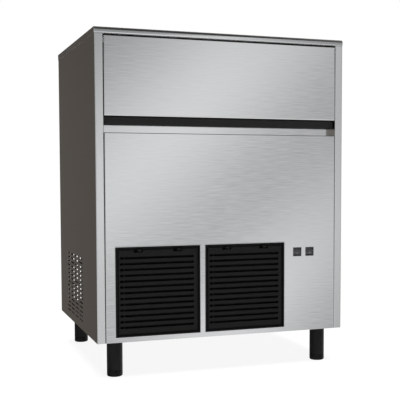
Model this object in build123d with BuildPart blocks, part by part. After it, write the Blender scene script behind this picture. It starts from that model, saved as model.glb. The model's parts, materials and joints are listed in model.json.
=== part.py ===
from build123d import *
import math
import os

# Ice cube machine: a steel cabinet on four feet, an insulated bin behind a door that
# swings up, a spray evaporator in the bin's upper rear half and the machinery below.
# X runs to the right, Y to the rear and Z up. The origin is on the floor, under the middle.

os.makedirs("parts", exist_ok=True)

# Overall sizes
width = 840.0
depth = 720.0
body_height = 975.0
foot_height = 115.0
bezel_proud = 1.5
rear_reach = 18.5

# Sheets and clearances
sheet = 1.2
pan_sheet = 2.0
fit = 0.2
running = 0.1
free = 0.3
past = 1.0

# Cabinet
cover_height = 18.0
cover_overhang = 1.0
cover_edge = 6.0
cover_corner = 2.0
post_width = 26.5
post_edge = 3.0
rear_edge = 1.4
recess_depth = 36.0
rear_flange = 20.0
pan_height = 22.0
pan_tongue = 20.0
deck_height = 330.0
deck_lip = 14.0
panel_return = 15.0
panel_gap = 1.5
panel_bend = 2.0
frame_wing = 10.0
screw_head = 4.0
screw_shank = 2.0
screw_grip = 0.1
screw_rows = 4
screw_inset = 42.0

# Side vents, measured from the cabinet's front face and its lower edge
vent_middle = 405.0
vent_rise = 136.0
vent_length = 62.0
vent_height = 5.0
vent_pitch_y = 82.0
vent_pitch_z = 15.0
vent_columns = 4
vent_rows = 15

# Rear vents, measured from the cabinet's left face and its lower edge
rear_vent_first = 25.0
rear_vent_rise = 67.0
rear_vent_width = 4.0
rear_vent_length = 62.0
rear_vent_pitch = 12.3
rear_vent_tier = 75.0
rear_vent_columns = 17
rear_vent_tiers = 3

# Door
door_height = 245.5
door_thick = 28.0
door_skin_sheet = 1.0
door_top_gap = 7.0
door_side_gap = 2.0
door_edge = 5.0
door_top_edge = 2.0
strip_height = 26.5
strip_recess = 14.0
strip_wall = 2.5
strip_lip = 9.8
recess_height = 24.0
pivot_drop = 15.0
pivot_inset = 14.0
pin_radius = 4.0
pin_length = 27.0
pin_collar = 8.0
pin_collar_thick = 2.0
pin_pocket = 16.0
pocket_room = 1.0
bush_radius = 7.0
bush_flange = 1.5
bush_shoulder = 2.5
liner_sheet = 2.0
plateau_reach = 14.0
plateau_margin = 14.0
plateau_draft = 12.0
gasket_width = 10.0
gasket_room = 1.0
gasket_bevel = 2.5

# Bin
mouth_side = 40.5
mouth_low = 20.0
mouth_high = 27.0
bin_wall = 2.5
foam_side = 37.6
foam_front = 38.0
foam_rear = 44.0
foam_floor = 45.5
foam_top = 32.0

# Lower front panel
grille_margin = 30.0
grille_between = 17.0
switch_zone = 183.0
grille_height = 284.0
grille_low = 16.0
grille_depth = 18.0
grille_gap = 0.4
grille_top_gap = 1.2
grille_rim = 2.5
grille_groove = 8.0
grille_face_inset = 2.0
grille_groove_depth = 8.0
louvre_count = 13
louvre_pitch = 18.2
louvre_height = 8.0
louvre_top = 37.0
louvre_start = 15.0
louvre_end = 21.0
louvre_rib = 12.0
louvre_rib_width = 2.0
louvre_tilt = 20.0
notch_width = 30.0
notch_height = 13.0
notch_spread = 64.0
notch_drop = 5.0
filter_thick = 3.0
filter_bar = 12.0
filter_bays = 3

# Switches
switch_inset = 91.0
switch_spacing = 45.0
switch_rise = 266.0
switch_size = 30.0
switch_cut = 27.0
bezel_width = 2.6
bezel_edge = 0.8
rocker_tilt = 8.0
rocker_draft = 2.0
rocker_depth = 14.0
rocker_slack = 3.0
rocker_sunk = 1.2
rocker_hub = 4.0
switch_body_depth = 24.0

# Control box
box_width = 150.0
box_height = 110.0
box_depth = 90.0
box_setback = 16.0
box_edge = 4.0

# Feet
foot_radius = 25.0
foot_inset_x = 65.0
foot_inset_y = 55.0
foot_flange = 64.0
foot_flange_thick = 4.0
foot_base_height = 18.0
foot_stem_radius = 10.0
foot_stem_length = 70.0
foot_edge = 5.0
foot_corner = 8.0

# Condenser, shroud and fan, behind the left grille
condenser_setback = 26.0
condenser_depth = 25.0
condenser_height = 270.0
condenser_tubes = 13
tube_thick = 2.0
tube_inset = 2.0
header_radius = 11.0
shroud_depth = 38.0
shroud_sheet = 1.5
fan_margin = 20.5
fan_sunk = 2.0
fan_gap = 4.0
fan_blades = 5
hub_radius = 30.0
hub_height = 24.0
blade_root = 23.0
blade_tip = 39.0
blade_thick = 2.0
blade_sunk = 3.0
blade_pitch_root = 52.0
blade_pitch_tip = 66.0
motor_radius = 42.0
motor_height = 62.0
motor_gap = 4.0
motor_edge = 6.0
shaft_radius = 4.0
bracket_width = 22.0
bracket_inset = 6.0
bracket_bend = 6.0

# Pipes
pipe_loop = 24.0
discharge_gap = 37.0
drier_setback = 122.0
drier_length = 110.0
drier_neck = 9.0
drier_radius = 12.0

# Compressor
compressor_setback = 241.5
suction_run = 50.0
shell_radius = 78.0
shell_height = 178.0
shell_crown = 42.0
plate_length = 210.0
plate_width = 160.0
plate_thick = 3.0
mount_height = 16.0
mount_radius = 13.0
plate_corner = 20.0
suction_rise = 120.0
discharge_rise = 90.0
stub_radius = 7.0
stub_reach = 12.0

# Ice-making section
tray_gap = 14.0
chamber_depth = 240.0
chamber_height = 253.0
chamber_wall = 3.0
chamber_ledge = 4.0
plate_drop = 50.0
plate_sheet = 2.0
cup_rows = 5
cup_margin = 25.0
cup_pitch = 44.0
cup_mouth = 34.0
cup_height = 36.0
cup_wall = 1.5
cup_draft = 8.0
coil_radius = 5.0
coil_runs = 5
coil_pitch = 44.0
coil_side = 50.0
coil_inset = 60.0
pipe_room = 3.0
pipe_bend = 20.0
chase_half = 12.0
chase_depth = 26.0
tail_drop = 40.0
outlet_height = 104.0
slide_rise = 35.0
slide_fall = 66.0
slide_thick = 2.0
slide_slots = 18
slide_slot_width = 8.0
slide_margin = 20.0
slide_gap = 1.0
bar_size = 16.0
nozzle_count = 12
nozzle_radius = 5.0
nozzle_height = 7.0
nozzle_draft = 20.0
bar_leg = 10.0
tray_height = 58.0
tray_wall = 3.0
tray_extra = 66.0
overflow_inset = 40.0
overflow_radius = 11.0
overflow_drop = 13.0
pump_radius = 26.0
pump_housing = 50.0
pump_neck = 16.0
pump_neck_radius = 9.0
pump_motor = 56.0
pump_edge = 5.0
pump_hose_radius = 6.0
bar_inset = 20.0
rod_radius = 3.0
rod_reach = 8.0
hem_radius = 6.0
hem_gap = 2.0
lug_width = 5.0
flap_count = 3
flap_gap = 2.0
flap_thick = 3.0
flap_drop = 92.0

# Rear fittings
inlet_radius = 13.0
inlet_length = 15.0
inlet_bore = 8.0
inlet_inset = 119.0
drain_radius = 12.0
drain_bore = 9.5
drain_inset = 269.0
drain_setback = 101.5
hose_radius = 10.0
hose_bend = 32.0
valve_size = 34.0
valve_coil_inset = 3.0
gland_radius = 11.0
gland_length = 13.0
gland_bore = 4.5
gland_inset = 59.0
fitting_rise = 60.0
fitting_flange = 2.5
fitting_grip = 6.0
fitting_neck = 1.5
fitting_collar = 3.0
fitting_rim = 5.0

# Places worked out from the sizes
total_depth = bezel_proud + depth + rear_reach
front = bezel_proud - total_depth / 2
rear = front + depth
base = foot_height
top = base + body_height
side = width / 2 - cover_overhang
inner_side = side - sheet
lip = side - post_width
cover_bottom = top - cover_height
door_top = cover_bottom - door_top_gap
door_bottom = door_top - door_height
strip_bottom = door_bottom - strip_height
panel_top = strip_bottom - recess_height
frame_front = front + recess_depth
frame_back = frame_front + sheet
rear_inner = rear - sheet
flange_front = rear_inner - sheet
deck_bottom = base + deck_height
deck_top = deck_bottom + sheet
door_half = lip - door_side_gap
door_back = front + door_thick
pivot_y = front + pivot_inset
pivot_z = door_top - pivot_drop
mouth_half = lip - mouth_side
mouth_bottom = door_bottom + mouth_low
mouth_top = door_top - mouth_high
panel_edge = lip - panel_gap
grille_width = (2 * panel_edge - grille_margin - grille_between - switch_zone) / 2
grille_left_x = -panel_edge + grille_margin + grille_width / 2
grille_right_x = grille_left_x + grille_width + grille_between
switch_xs = (panel_edge - switch_inset - switch_spacing, panel_edge - switch_inset)
inlet_x = side - inlet_inset
drain_x = side - drain_inset
drain_y = rear - drain_setback
gland_x = side - gland_inset


def block(x0, x1, y0, y1, z0, z1, mode=Mode.ADD):
    """Add or cut a straight block between its six faces."""
    with Locations(((x0 + x1) / 2, (y0 + y1) / 2, (z0 + z1) / 2)):
        Box(x1 - x0, y1 - y0, z1 - z0, mode=mode)


def facing_front(y):
    """Return the upright plane at a depth, with X to the right, Z up and its normal to the front."""
    return Plane(origin=(0, y, 0), x_dir=(1, 0, 0), z_dir=(0, -1, 0))


def facing_right(x):
    """Return the upright plane at a width, with Y to the right and Z up."""
    return Plane(origin=(x, 0, 0), x_dir=(0, 1, 0), z_dir=(1, 0, 0))


def save(piece, name):
    """Label a finished piece and write it to its own file."""
    piece.part.label = name
    export_step(piece.part, f"parts/{name}.step")


# Rear screws, in a row up each rear flange
screw_x = side - rear_flange / 2
screw_pitch = (body_height - cover_height - 2 * screw_inset) / (screw_rows - 1)
screw_zs = [base + screw_inset + row * screw_pitch for row in range(screw_rows)]

# Base pan: a folded tray between the side panels, with a tongue forward between the posts
pan_half = inner_side - fit
pan_front = frame_front
pan_rear = flange_front - fit
with BuildPart() as base_pan:
    block(-pan_half, pan_half, pan_front, pan_rear, base, base + pan_height)
    offset(amount=-pan_sheet, openings=base_pan.faces().sort_by(Axis.Z)[-1])
    block(-lip + free, lip - free, pan_front - pan_tongue, pan_front, base, base + pan_sheet)
save(base_pan, "base_pan")


# Side panels: one folded sheet each, with the front post, its return and the rear flange
def side_panel_body(hand):
    """Draw and extrude the folded section of a side panel, for hand -1 on the left and 1 on the right."""
    with BuildSketch(Plane.XY.offset(base)) as section:
        with BuildLine():
            FilletPolyline(
                (hand * lip, frame_front),
                (hand * lip, front),
                (hand * side, front),
                (hand * side, rear_inner),
                (hand * (side - rear_flange), rear_inner),
                radius=[post_edge, post_edge, rear_edge],
            )
            inward = Side.RIGHT if hand < 0 else Side.LEFT
            offset(amount=sheet, side=inward, kind=Kind.ARC)
        make_face()
    extrude(section.sketch, amount=cover_bottom - free - base)
    with BuildSketch(facing_front(rear_inner)) as holes:
        with Locations([(hand * screw_x, z) for z in screw_zs]):
            Circle(screw_shank + fit)
    extrude(holes.sketch, amount=2 * sheet, mode=Mode.SUBTRACT)


def hinge_hole(hand):
    """Cut the bush hole through a post's return."""
    with BuildSketch(facing_right(hand * lip)) as hole:
        with Locations((pivot_y, pivot_z)):
            Circle(bush_radius + fit)
    extrude(hole.sketch, amount=hand * 2 * sheet, mode=Mode.SUBTRACT)


with BuildPart() as left_side_panel:
    side_panel_body(-1)
    hinge_hole(-1)
    with BuildSketch(facing_right(-side)):
        with Locations((front + vent_middle, base + vent_rise)):
            with GridLocations(vent_pitch_y, vent_pitch_z, vent_columns, vent_rows):
                Rectangle(vent_length, vent_height)
    extrude(amount=2 * sheet, mode=Mode.SUBTRACT)
save(left_side_panel, "left_side_panel")

with BuildPart() as right_side_panel:
    side_panel_body(1)
    hinge_hole(1)
save(right_side_panel, "right_side_panel")

# Rear panel, with three tiers of upright vents on its left and holes for the fittings
panel_half = inner_side - fit
with BuildPart() as rear_panel:
    block(-panel_half, panel_half, rear_inner, rear, base, cover_bottom - free)
    with BuildSketch(facing_front(rear)):
        vent_x = -side + rear_vent_first + rear_vent_pitch * (rear_vent_columns - 1) / 2
        vent_z = base + rear_vent_rise + rear_vent_tier * (rear_vent_tiers - 1) / 2
        with Locations((vent_x, vent_z)):
            with GridLocations(rear_vent_pitch, rear_vent_tier, rear_vent_columns, rear_vent_tiers):
                Rectangle(rear_vent_width, rear_vent_length)
        for x, radius in ((inlet_x, inlet_radius), (drain_x, drain_radius), (gland_x, gland_radius)):
            with Locations((x, base + fitting_rise)):
                Circle(radius + fitting_neck + fit)
        with Locations([(hand * screw_x, z) for hand in (-1, 1) for z in screw_zs]):
            Circle(screw_shank + fit)
    extrude(amount=2 * sheet, both=True, mode=Mode.SUBTRACT)
save(rear_panel, "rear_panel")

with BuildPart() as rear_screws:
    for z in screw_zs:
        for hand in (-1, 1):
            with Locations(facing_front(rear).location * Location((hand * screw_x, z, 0))):
                Cylinder(screw_head, screw_shank, align=(Align.CENTER, Align.CENTER, Align.MAX))
                Cylinder(screw_shank, 2 * sheet + screw_grip, align=(Align.CENTER, Align.CENTER, Align.MIN))
save(rear_screws, "rear_screws")

# Top cover: a shallow lid with a round front edge
with BuildPart() as top_cover:
    block(-width / 2, width / 2, front, rear, cover_bottom, top)
    fillet(top_cover.edges().group_by(Axis.Z)[-1].sort_by(Axis.Y)[0], cover_edge)
    corners = top_cover.edges().filter_by(Axis.Z)
    fillet(corners, cover_corner)
    offset(amount=-sheet, openings=top_cover.faces().sort_by(Axis.Z)[0])
save(top_cover, "top_cover")

# Face frame of the bin mouth, behind the door and up inside the cover
foam_upper = top - sheet - fit
with BuildPart() as face_frame:
    block(
        -lip - frame_wing, lip + frame_wing, frame_front, frame_back,
        panel_top - panel_return, foam_upper,
    )
    block(
        -mouth_half, mouth_half, frame_front - past, frame_back + past, mouth_bottom, mouth_top,
        mode=Mode.SUBTRACT,
    )
save(face_frame, "face_frame")

# Bin liner: one moulded tub with a forward mouth
liner_half = pan_half - foam_side
liner_front = frame_back + foam_front
liner_rear = pan_rear - foam_rear
liner_bottom = deck_top + foam_floor
liner_top = foam_upper - foam_top
chamber_half = liner_half - tray_extra - tray_gap
chamber_width = 2 * chamber_half
suction_x = chamber_half - coil_side
hot_gas_x = -suction_x
chamber_top = liner_top - bin_wall - fit
chamber_rear = liner_rear - bin_wall - fit
coil_z = chamber_top - plate_drop + coil_radius + free
pipe_hole = coil_radius + pipe_room
pipe_y = pan_rear - chase_depth / 2
drop_holes = [(suction_x, pipe_y), (hot_gas_x, pipe_y)]
with BuildPart() as bin_liner:
    block(-liner_half, liner_half, liner_front, liner_rear, liner_bottom, liner_top)
    block(
        -mouth_half - bin_wall, mouth_half + bin_wall, frame_back, liner_front,
        mouth_bottom - bin_wall, mouth_top + bin_wall,
    )
    block(
        -liner_half + bin_wall, liner_half - bin_wall, liner_front + bin_wall, liner_rear - bin_wall,
        liner_bottom + bin_wall, liner_top - bin_wall, mode=Mode.SUBTRACT,
    )
    block(
        -mouth_half, mouth_half, frame_back, liner_front + bin_wall, mouth_bottom, mouth_top,
        mode=Mode.SUBTRACT,
    )
    with BuildSketch(facing_front(liner_rear)):
        with Locations((suction_x, coil_z), (hot_gas_x, coil_z)):
            Circle(pipe_hole)
    extrude(amount=bin_wall, mode=Mode.SUBTRACT)
    with BuildSketch(Plane.XY.offset(liner_bottom)):
        with Locations((drain_x, drain_y)):
            Circle(hose_radius + fit)
    extrude(amount=bin_wall, mode=Mode.SUBTRACT)
save(bin_liner, "bin_liner")

# Deck between the machine compartment and the bin, with holes for the pipes and the drain
with BuildPart() as machine_deck:
    block(-pan_half, pan_half, frame_back, pan_rear, deck_bottom - deck_lip, deck_top)
    offset(amount=-sheet, openings=machine_deck.faces().sort_by(Axis.Z)[0])
    with BuildSketch(Plane.XY.offset(deck_bottom)):
        with Locations(drop_holes):
            Circle(pipe_hole)
        with Locations((drain_x, drain_y)):
            Circle(hose_radius + fit)
    extrude(amount=sheet, mode=Mode.SUBTRACT)
save(machine_deck, "machine_deck")

# Foam jacket round the liner, with an upright chase for each pipe in its rear face
with BuildPart() as foam_jacket:
    block(-pan_half, pan_half, frame_back, pan_rear, deck_top, foam_upper)
    block(
        -liner_half, liner_half, liner_front, liner_rear, liner_bottom, liner_top,
        mode=Mode.SUBTRACT,
    )
    block(
        -mouth_half - bin_wall, mouth_half + bin_wall, frame_back, liner_front,
        mouth_bottom - bin_wall, mouth_top + bin_wall, mode=Mode.SUBTRACT,
    )
    for chase_x in (suction_x, hot_gas_x):
        block(
            chase_x - chase_half, chase_x + chase_half, pan_rear - chase_depth, pan_rear,
            deck_top, coil_z + chase_half, mode=Mode.SUBTRACT,
        )
    with BuildSketch(facing_front(pan_rear)):
        with Locations((suction_x, coil_z), (hot_gas_x, coil_z)):
            Circle(pipe_hole)
    extrude(amount=foam_rear, mode=Mode.SUBTRACT)
    with BuildSketch(Plane.XY.offset(deck_top)):
        with Locations((drain_x, drain_y)):
            Circle(hose_radius + fit)
    extrude(amount=foam_floor, mode=Mode.SUBTRACT)
save(foam_jacket, "foam_jacket")

# Lower front panel: a tray with a deep upper return that is the floor of the grip recess
grille_middle = base + grille_low + grille_height / 2
grille_xs = (grille_left_x, grille_right_x)
with BuildPart() as front_panel:
    block(-panel_edge, panel_edge, front, frame_front, base, panel_top)
    fillet(front_panel.edges().group_by(Axis.Y)[0].sort_by(Axis.Z)[-1], panel_bend)
    offset(amount=-sheet, openings=front_panel.faces().sort_by(Axis.Y)[-1])
    block(
        -panel_edge, panel_edge, front + panel_return, frame_front, base, panel_top - sheet,
        mode=Mode.SUBTRACT,
    )
    with BuildSketch(facing_front(front)):
        with Locations([(x, grille_middle) for x in grille_xs]):
            Rectangle(grille_width, grille_height)
        with Locations([(x, base + switch_rise) for x in switch_xs]):
            Rectangle(switch_cut, switch_cut)
    extrude(amount=-2 * sheet, mode=Mode.SUBTRACT)
save(front_panel, "front_panel")


# Air grilles: a rim, a groove and a louvred face, moulded as one
def grille(middle_x):
    """Model one snap-in air grille round its middle, inside the current part."""
    half = grille_width / 2 - grille_gap
    low = base + grille_low + grille_gap
    high = base + grille_low + grille_height - grille_top_gap
    block(middle_x - half, middle_x + half, front, front + grille_depth, low, high)
    inside = half - grille_rim
    block(
        middle_x - inside, middle_x + inside, front + grille_groove_depth + grille_rim,
        front + grille_depth, low + grille_rim, high - grille_rim, mode=Mode.SUBTRACT,
    )
    with BuildSketch(facing_front(front)) as groove:
        with Locations((middle_x, (low + high) / 2)):
            Rectangle(2 * inside, high - low - 2 * grille_rim)
            Rectangle(
                2 * (inside - grille_groove), high - low - 2 * (grille_rim + grille_groove),
                mode=Mode.SUBTRACT,
            )
    extrude(groove.sketch, amount=-grille_groove_depth, mode=Mode.SUBTRACT)
    block(
        middle_x - inside, middle_x + inside, front - past, front + grille_face_inset,
        low + grille_rim, high - grille_rim, mode=Mode.SUBTRACT,
    )
    with BuildSketch(facing_front(front)) as notches:
        with Locations([(middle_x + hand * notch_spread, high - notch_drop) for hand in (-1, 1)]):
            Rectangle(notch_width, notch_height, align=(Align.CENTER, Align.MAX))
    extrude(notches.sketch, amount=-(grille_groove_depth + grille_rim + past), mode=Mode.SUBTRACT)
    left = middle_x - grille_width / 2 + louvre_start
    right = middle_x + grille_width / 2 - louvre_end
    rib_left = left + louvre_rib
    rise = math.tan(math.radians(louvre_tilt)) * (grille_groove_depth + grille_rim)
    for row in range(louvre_count):
        z = high + grille_top_gap - louvre_top - row * louvre_pitch
        for x0, x1 in ((left, rib_left), (rib_left + louvre_rib_width, right)):
            with BuildSketch(facing_right(x0)) as louvre:
                with BuildLine():
                    Polyline(
                        (front, z - louvre_height / 2),
                        (front + grille_groove_depth + grille_rim, z - louvre_height / 2 + rise),
                        (front + grille_groove_depth + grille_rim, z + louvre_height / 2 + rise),
                        (front, z + louvre_height / 2),
                        close=True,
                    )
                make_face()
            extrude(louvre.sketch, amount=x1 - x0, mode=Mode.SUBTRACT)


def air_filter(middle_x):
    """Model the filter screen that clips into the back of a grille."""
    half = grille_width / 2 - grille_gap - grille_rim - fit
    low = base + grille_low + grille_gap + grille_rim + fit
    high = base + grille_low + grille_height - grille_top_gap - grille_rim - fit
    y0 = front + grille_groove_depth + grille_rim + fit
    block(middle_x - half, middle_x + half, y0, y0 + filter_thick, low, high)
    bay_width = (2 * half - (filter_bays + 1) * filter_bar) / filter_bays
    bay_height = high - low - 2 * filter_bar
    with BuildSketch(facing_front(y0)) as windows:
        with Locations((middle_x, (low + high) / 2)):
            with GridLocations(bay_width + filter_bar, 0, filter_bays, 1):
                Rectangle(bay_width, bay_height)
    extrude(windows.sketch, amount=-filter_thick / 3, mode=Mode.SUBTRACT)


for hand_name, x in zip(("left", "right"), grille_xs):
    with BuildPart() as air_grille:
        grille(x)
    save(air_grille, f"{hand_name}_grille")
    with BuildPart() as filter_screen:
        air_filter(x)
    save(filter_screen, f"{hand_name}_filter")


# Switches: a bezel clipped into the panel, and a rocker tipped about its pivot
bezel_half = switch_size / 2
housing_half = switch_cut / 2 - fit
opening_half = bezel_half - bezel_width
rocker_half = opening_half - free
rocker_reach = rocker_depth / 2
rocker_lean = math.radians(rocker_tilt)
switch_z = base + switch_rise
with BuildPart() as switch_bezels:
    for x in switch_xs:
        block(
            x - bezel_half, x + bezel_half, front - bezel_proud, front,
            switch_z - bezel_half, switch_z + bezel_half,
        )
    fillet(switch_bezels.edges().group_by(Axis.Y)[0], bezel_edge)
    for x in switch_xs:
        block(
            x - housing_half, x + housing_half, front, front + switch_body_depth,
            switch_z - housing_half, switch_z + housing_half,
        )
        block(
            x - opening_half, x + opening_half, front - bezel_proud, front + rocker_depth + free,
            switch_z - opening_half, switch_z + opening_half, mode=Mode.SUBTRACT,
        )
save(switch_bezels, "switch_bezels")

for number, x in enumerate(switch_xs, 1):
    pressed = Plane(
        origin=(x, front + rocker_reach, switch_z),
        x_dir=(1, 0, 0),
        z_dir=(0, -math.cos(rocker_lean), math.sin(rocker_lean)),
    )
    with BuildPart() as rocker:
        with BuildSketch(pressed):
            Rectangle(2 * rocker_half, 2 * rocker_half - rocker_slack)
        extrude(amount=rocker_reach - rocker_sunk, taper=rocker_draft)
        with BuildSketch(pressed):
            Rectangle(2 * rocker_half, 2 * rocker_half - rocker_slack)
        extrude(amount=-rocker_reach / 2)
        with BuildSketch(facing_right(x - rocker_half)):
            with Locations((front + rocker_reach, switch_z)):
                Circle(rocker_hub)
        extrude(amount=2 * rocker_half)
    save(rocker, f"rocker_{number}")

# Door skin: a folded tray with a round lower edge
skin_back = door_back - liner_sheet
with BuildPart() as door_skin:
    block(-door_half, door_half, front, skin_back, door_bottom, door_top)
    front_edges = door_skin.faces().sort_by(Axis.Y)[0].edges()
    fillet(front_edges.sort_by(Axis.Z)[0], door_edge)
    upper_edge = door_skin.edges().group_by(Axis.Y)[0].sort_by(Axis.Z)[-1]
    fillet(upper_edge, door_top_edge)
    offset(amount=-door_skin_sheet, openings=door_skin.faces().sort_by(Axis.Y)[-1])
    with BuildSketch(facing_right(0)):
        with Locations((pivot_y, pivot_z)):
            Circle(pin_radius + free)
    extrude(amount=door_half + past, both=True, mode=Mode.SUBTRACT)
save(door_skin, "door_skin")

# Door liner: a formed sheet whose plateau stands into the mouth
plateau_half = mouth_half - plateau_margin
plateau_width = 2 * plateau_half
plateau_height = mouth_top - mouth_bottom - 2 * plateau_margin
plateau_z = (mouth_top + mouth_bottom) / 2
with BuildPart() as door_liner:
    block(-door_half, door_half, skin_back, door_back, door_bottom, door_top)
    with BuildSketch(facing_front(door_back)):
        with Locations((0, plateau_z)):
            Rectangle(plateau_width, plateau_height)
    extrude(amount=-plateau_reach, taper=plateau_draft)
    with BuildSketch(facing_front(skin_back)):
        with Locations((0, plateau_z)):
            Rectangle(plateau_width - 2 * liner_sheet, plateau_height - 2 * liner_sheet)
    extrude(amount=-plateau_reach, taper=plateau_draft, mode=Mode.SUBTRACT)
save(door_liner, "door_liner")

# Door foam, with a pocket at each end for the hinge pin
pocket = pin_collar + pocket_room
foam_half = door_half - door_skin_sheet
with BuildPart() as door_foam:
    block(
        -foam_half, foam_half, front + door_edge, skin_back,
        door_bottom + door_skin_sheet, door_top - door_skin_sheet,
    )
    for hand in (-1, 1):
        block(
            hand * foam_half - pin_pocket, hand * foam_half + pin_pocket,
            pivot_y - pocket, pivot_y + pocket, pivot_z - pocket, door_top, mode=Mode.SUBTRACT,
        )
    with BuildSketch(facing_front(skin_back)):
        with Locations((0, plateau_z)):
            Rectangle(plateau_width - 2 * liner_sheet, plateau_height - 2 * liner_sheet)
    extrude(amount=-plateau_reach, taper=plateau_draft)
save(door_foam, "door_foam")

# Door gasket round the mouth
gasket_wide = 2 * (mouth_half + gasket_room)
gasket_high = mouth_top - mouth_bottom + 2 * gasket_room
with BuildPart() as door_gasket:
    with BuildSketch(facing_front(door_back)):
        with Locations((0, plateau_z)):
            Rectangle(gasket_wide + 2 * gasket_width, gasket_high + 2 * gasket_width)
            Rectangle(gasket_wide, gasket_high, mode=Mode.SUBTRACT)
    extrude(amount=-(frame_front - free - door_back))
    chamfer(door_gasket.faces().sort_by(Axis.Y)[-1].edges(), gasket_bevel)
save(door_gasket, "door_gasket")

# Hand grip strip under the door: an extruded section with a curled lower lip
strip_front = front + strip_recess
with BuildPart() as hand_grip:
    with BuildSketch(facing_right(-door_half)):
        with BuildLine():
            FilletPolyline(
                (door_back, door_bottom - strip_wall / 2),
                (strip_front + strip_wall / 2, door_bottom - strip_wall / 2),
                (strip_front + strip_wall / 2, strip_bottom + strip_wall / 2),
                (strip_front + strip_lip, strip_bottom + strip_wall / 2),
                radius=strip_wall,
            )
        trace(line_width=strip_wall)
    extrude(amount=2 * door_half)
save(hand_grip, "hand_grip")

# Hinge pins, one at each end of the door's upper edge
with BuildPart() as hinge_pins:
    for hand in (-1, 1):
        with BuildSketch(facing_right(hand * (door_half + pin_length / 2))):
            with Locations((pivot_y, pivot_z)):
                Circle(pin_radius)
        extrude(amount=-hand * pin_length)
        with BuildSketch(facing_right(hand * (foam_half - fit))):
            with Locations((pivot_y, pivot_z)):
                Circle(pin_collar)
        extrude(amount=-hand * pin_collar_thick)
save(hinge_pins, "hinge_pins")

# Hinge bushes in the returns of the posts
for hand, hand_name in ((-1, "left"), (1, "right")):
    with BuildPart() as hinge_bush:
        with BuildSketch(facing_right(hand * lip)):
            with Locations((pivot_y, pivot_z)):
                Circle(bush_radius)
        extrude(amount=hand * pin_length / 2)
        with BuildSketch(facing_right(hand * lip)):
            with Locations((pivot_y, pivot_z)):
                Circle(bush_radius + bush_shoulder)
        extrude(amount=-hand * bush_flange)
        with BuildSketch(facing_right(hand * (lip - bush_flange))):
            with Locations((pivot_y, pivot_z)):
                Circle(pin_radius + running)
        extrude(amount=hand * pin_length, mode=Mode.SUBTRACT)
    save(hinge_bush, f"hinge_bush_{hand_name}")

# Feet: four flanged sleeves under the pan
foot_x = side - foot_inset_x
foot_ys = {"front": front + foot_inset_y, "rear": rear - foot_inset_y}
foot_places = [(hand * foot_x, y) for y in foot_ys.values() for hand in (-1, 1)]
sleeve_bottom = foot_base_height + free
with BuildPart() as foot_sleeves:
    with BuildSketch(Plane.XY.offset(sleeve_bottom)):
        with Locations(foot_places):
            Circle(foot_radius)
    extrude(amount=base - foot_flange_thick - sleeve_bottom)
    with BuildSketch(Plane.XY.offset(base - foot_flange_thick)):
        with Locations(foot_places):
            RectangleRounded(foot_flange, foot_flange, foot_corner)
    extrude(amount=foot_flange_thick)
    with BuildSketch(Plane.XY.offset(sleeve_bottom)):
        with Locations(foot_places):
            Circle(foot_stem_radius + free)
    extrude(amount=foot_stem_length + free, mode=Mode.SUBTRACT)
save(foot_sleeves, "foot_sleeves")

# Foot bases: each a disc with a stem that screws into its sleeve
for end_name, y in foot_ys.items():
    for hand, hand_name in ((-1, "left"), (1, "right")):
        with BuildPart() as foot_base:
            with BuildSketch(Plane.XY):
                with Locations((hand * foot_x, y)):
                    Circle(foot_radius)
            extrude(amount=foot_base_height)
            fillet(foot_base.edges().sort_by(Axis.Z)[0], foot_edge)
            with BuildSketch(Plane.XY.offset(foot_base_height)):
                with Locations((hand * foot_x, y)):
                    Circle(foot_stem_radius)
            extrude(amount=foot_stem_length)
        save(foot_base, f"foot_base_{end_name}_{hand_name}")

# Condenser: flat tubes between two upright headers, standing on the pan behind the left grille
condenser_half = grille_width / 2 - grille_rim
header_x = condenser_half - header_radius
header_y = front + grille_depth + condenser_setback + condenser_depth / 2
condenser_y = front + grille_depth + condenser_setback
condenser_low = base + pan_sheet
condenser_high = condenser_low + condenser_height
with BuildPart() as condenser:
    for z in (condenser_low, condenser_high - tube_thick):
        block(
            grille_left_x - condenser_half, grille_left_x + condenser_half,
            condenser_y, condenser_y + condenser_depth, z, z + tube_thick,
        )
    with BuildSketch(Plane.XY.offset(condenser_low)):
        with Locations([(grille_left_x + hand * header_x, header_y) for hand in (-1, 1)]):
            Circle(header_radius)
    extrude(amount=condenser_height)
    tube_pitch = (condenser_height - tube_thick) / (condenser_tubes + 1)
    for row in range(1, condenser_tubes + 1):
        z = condenser_low + row * tube_pitch
        block(
            grille_left_x - header_x, grille_left_x + header_x,
            condenser_y + tube_inset, condenser_y + condenser_depth - tube_inset, z, z + tube_thick,
        )
save(condenser, "condenser")

# Fan shroud: a tray behind the condenser, with a round outlet and a rolled collar
shroud_front = condenser_y + condenser_depth + fit
shroud_back = shroud_front + shroud_depth
fan_radius = condenser_half - fan_margin
fan_z = (condenser_low + condenser_high) / 2
with BuildPart() as fan_shroud:
    block(
        grille_left_x - condenser_half, grille_left_x + condenser_half,
        shroud_front, shroud_back, condenser_low, condenser_high,
    )
    offset(amount=-shroud_sheet, openings=fan_shroud.faces().sort_by(Axis.Y)[0])
    with BuildSketch(facing_front(shroud_back)):
        with Locations((grille_left_x, fan_z)):
            Circle(fan_radius + fan_gap + shroud_sheet)
    extrude(amount=-hub_height)
    with BuildSketch(facing_front(shroud_back + hub_height)):
        with Locations((grille_left_x, fan_z)):
            Circle(fan_radius + fan_gap)
    extrude(amount=shroud_depth, mode=Mode.SUBTRACT)
save(fan_shroud, "fan_shroud")

# Fan: twisted blades on a hub
fan_y = shroud_back + hub_height / 2 - fan_sunk


def blade_section(radius, chord, pitch):
    """Return a blade's section, drawn on the plane square to its radius."""
    angle = math.radians(pitch)
    plane = Plane(
        origin=(grille_left_x + radius, fan_y, fan_z),
        x_dir=(0, math.cos(angle), math.sin(angle)),
        z_dir=(1, 0, 0),
    )
    with BuildSketch(plane) as section:
        Rectangle(chord, blade_thick)
    return section.sketch


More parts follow.
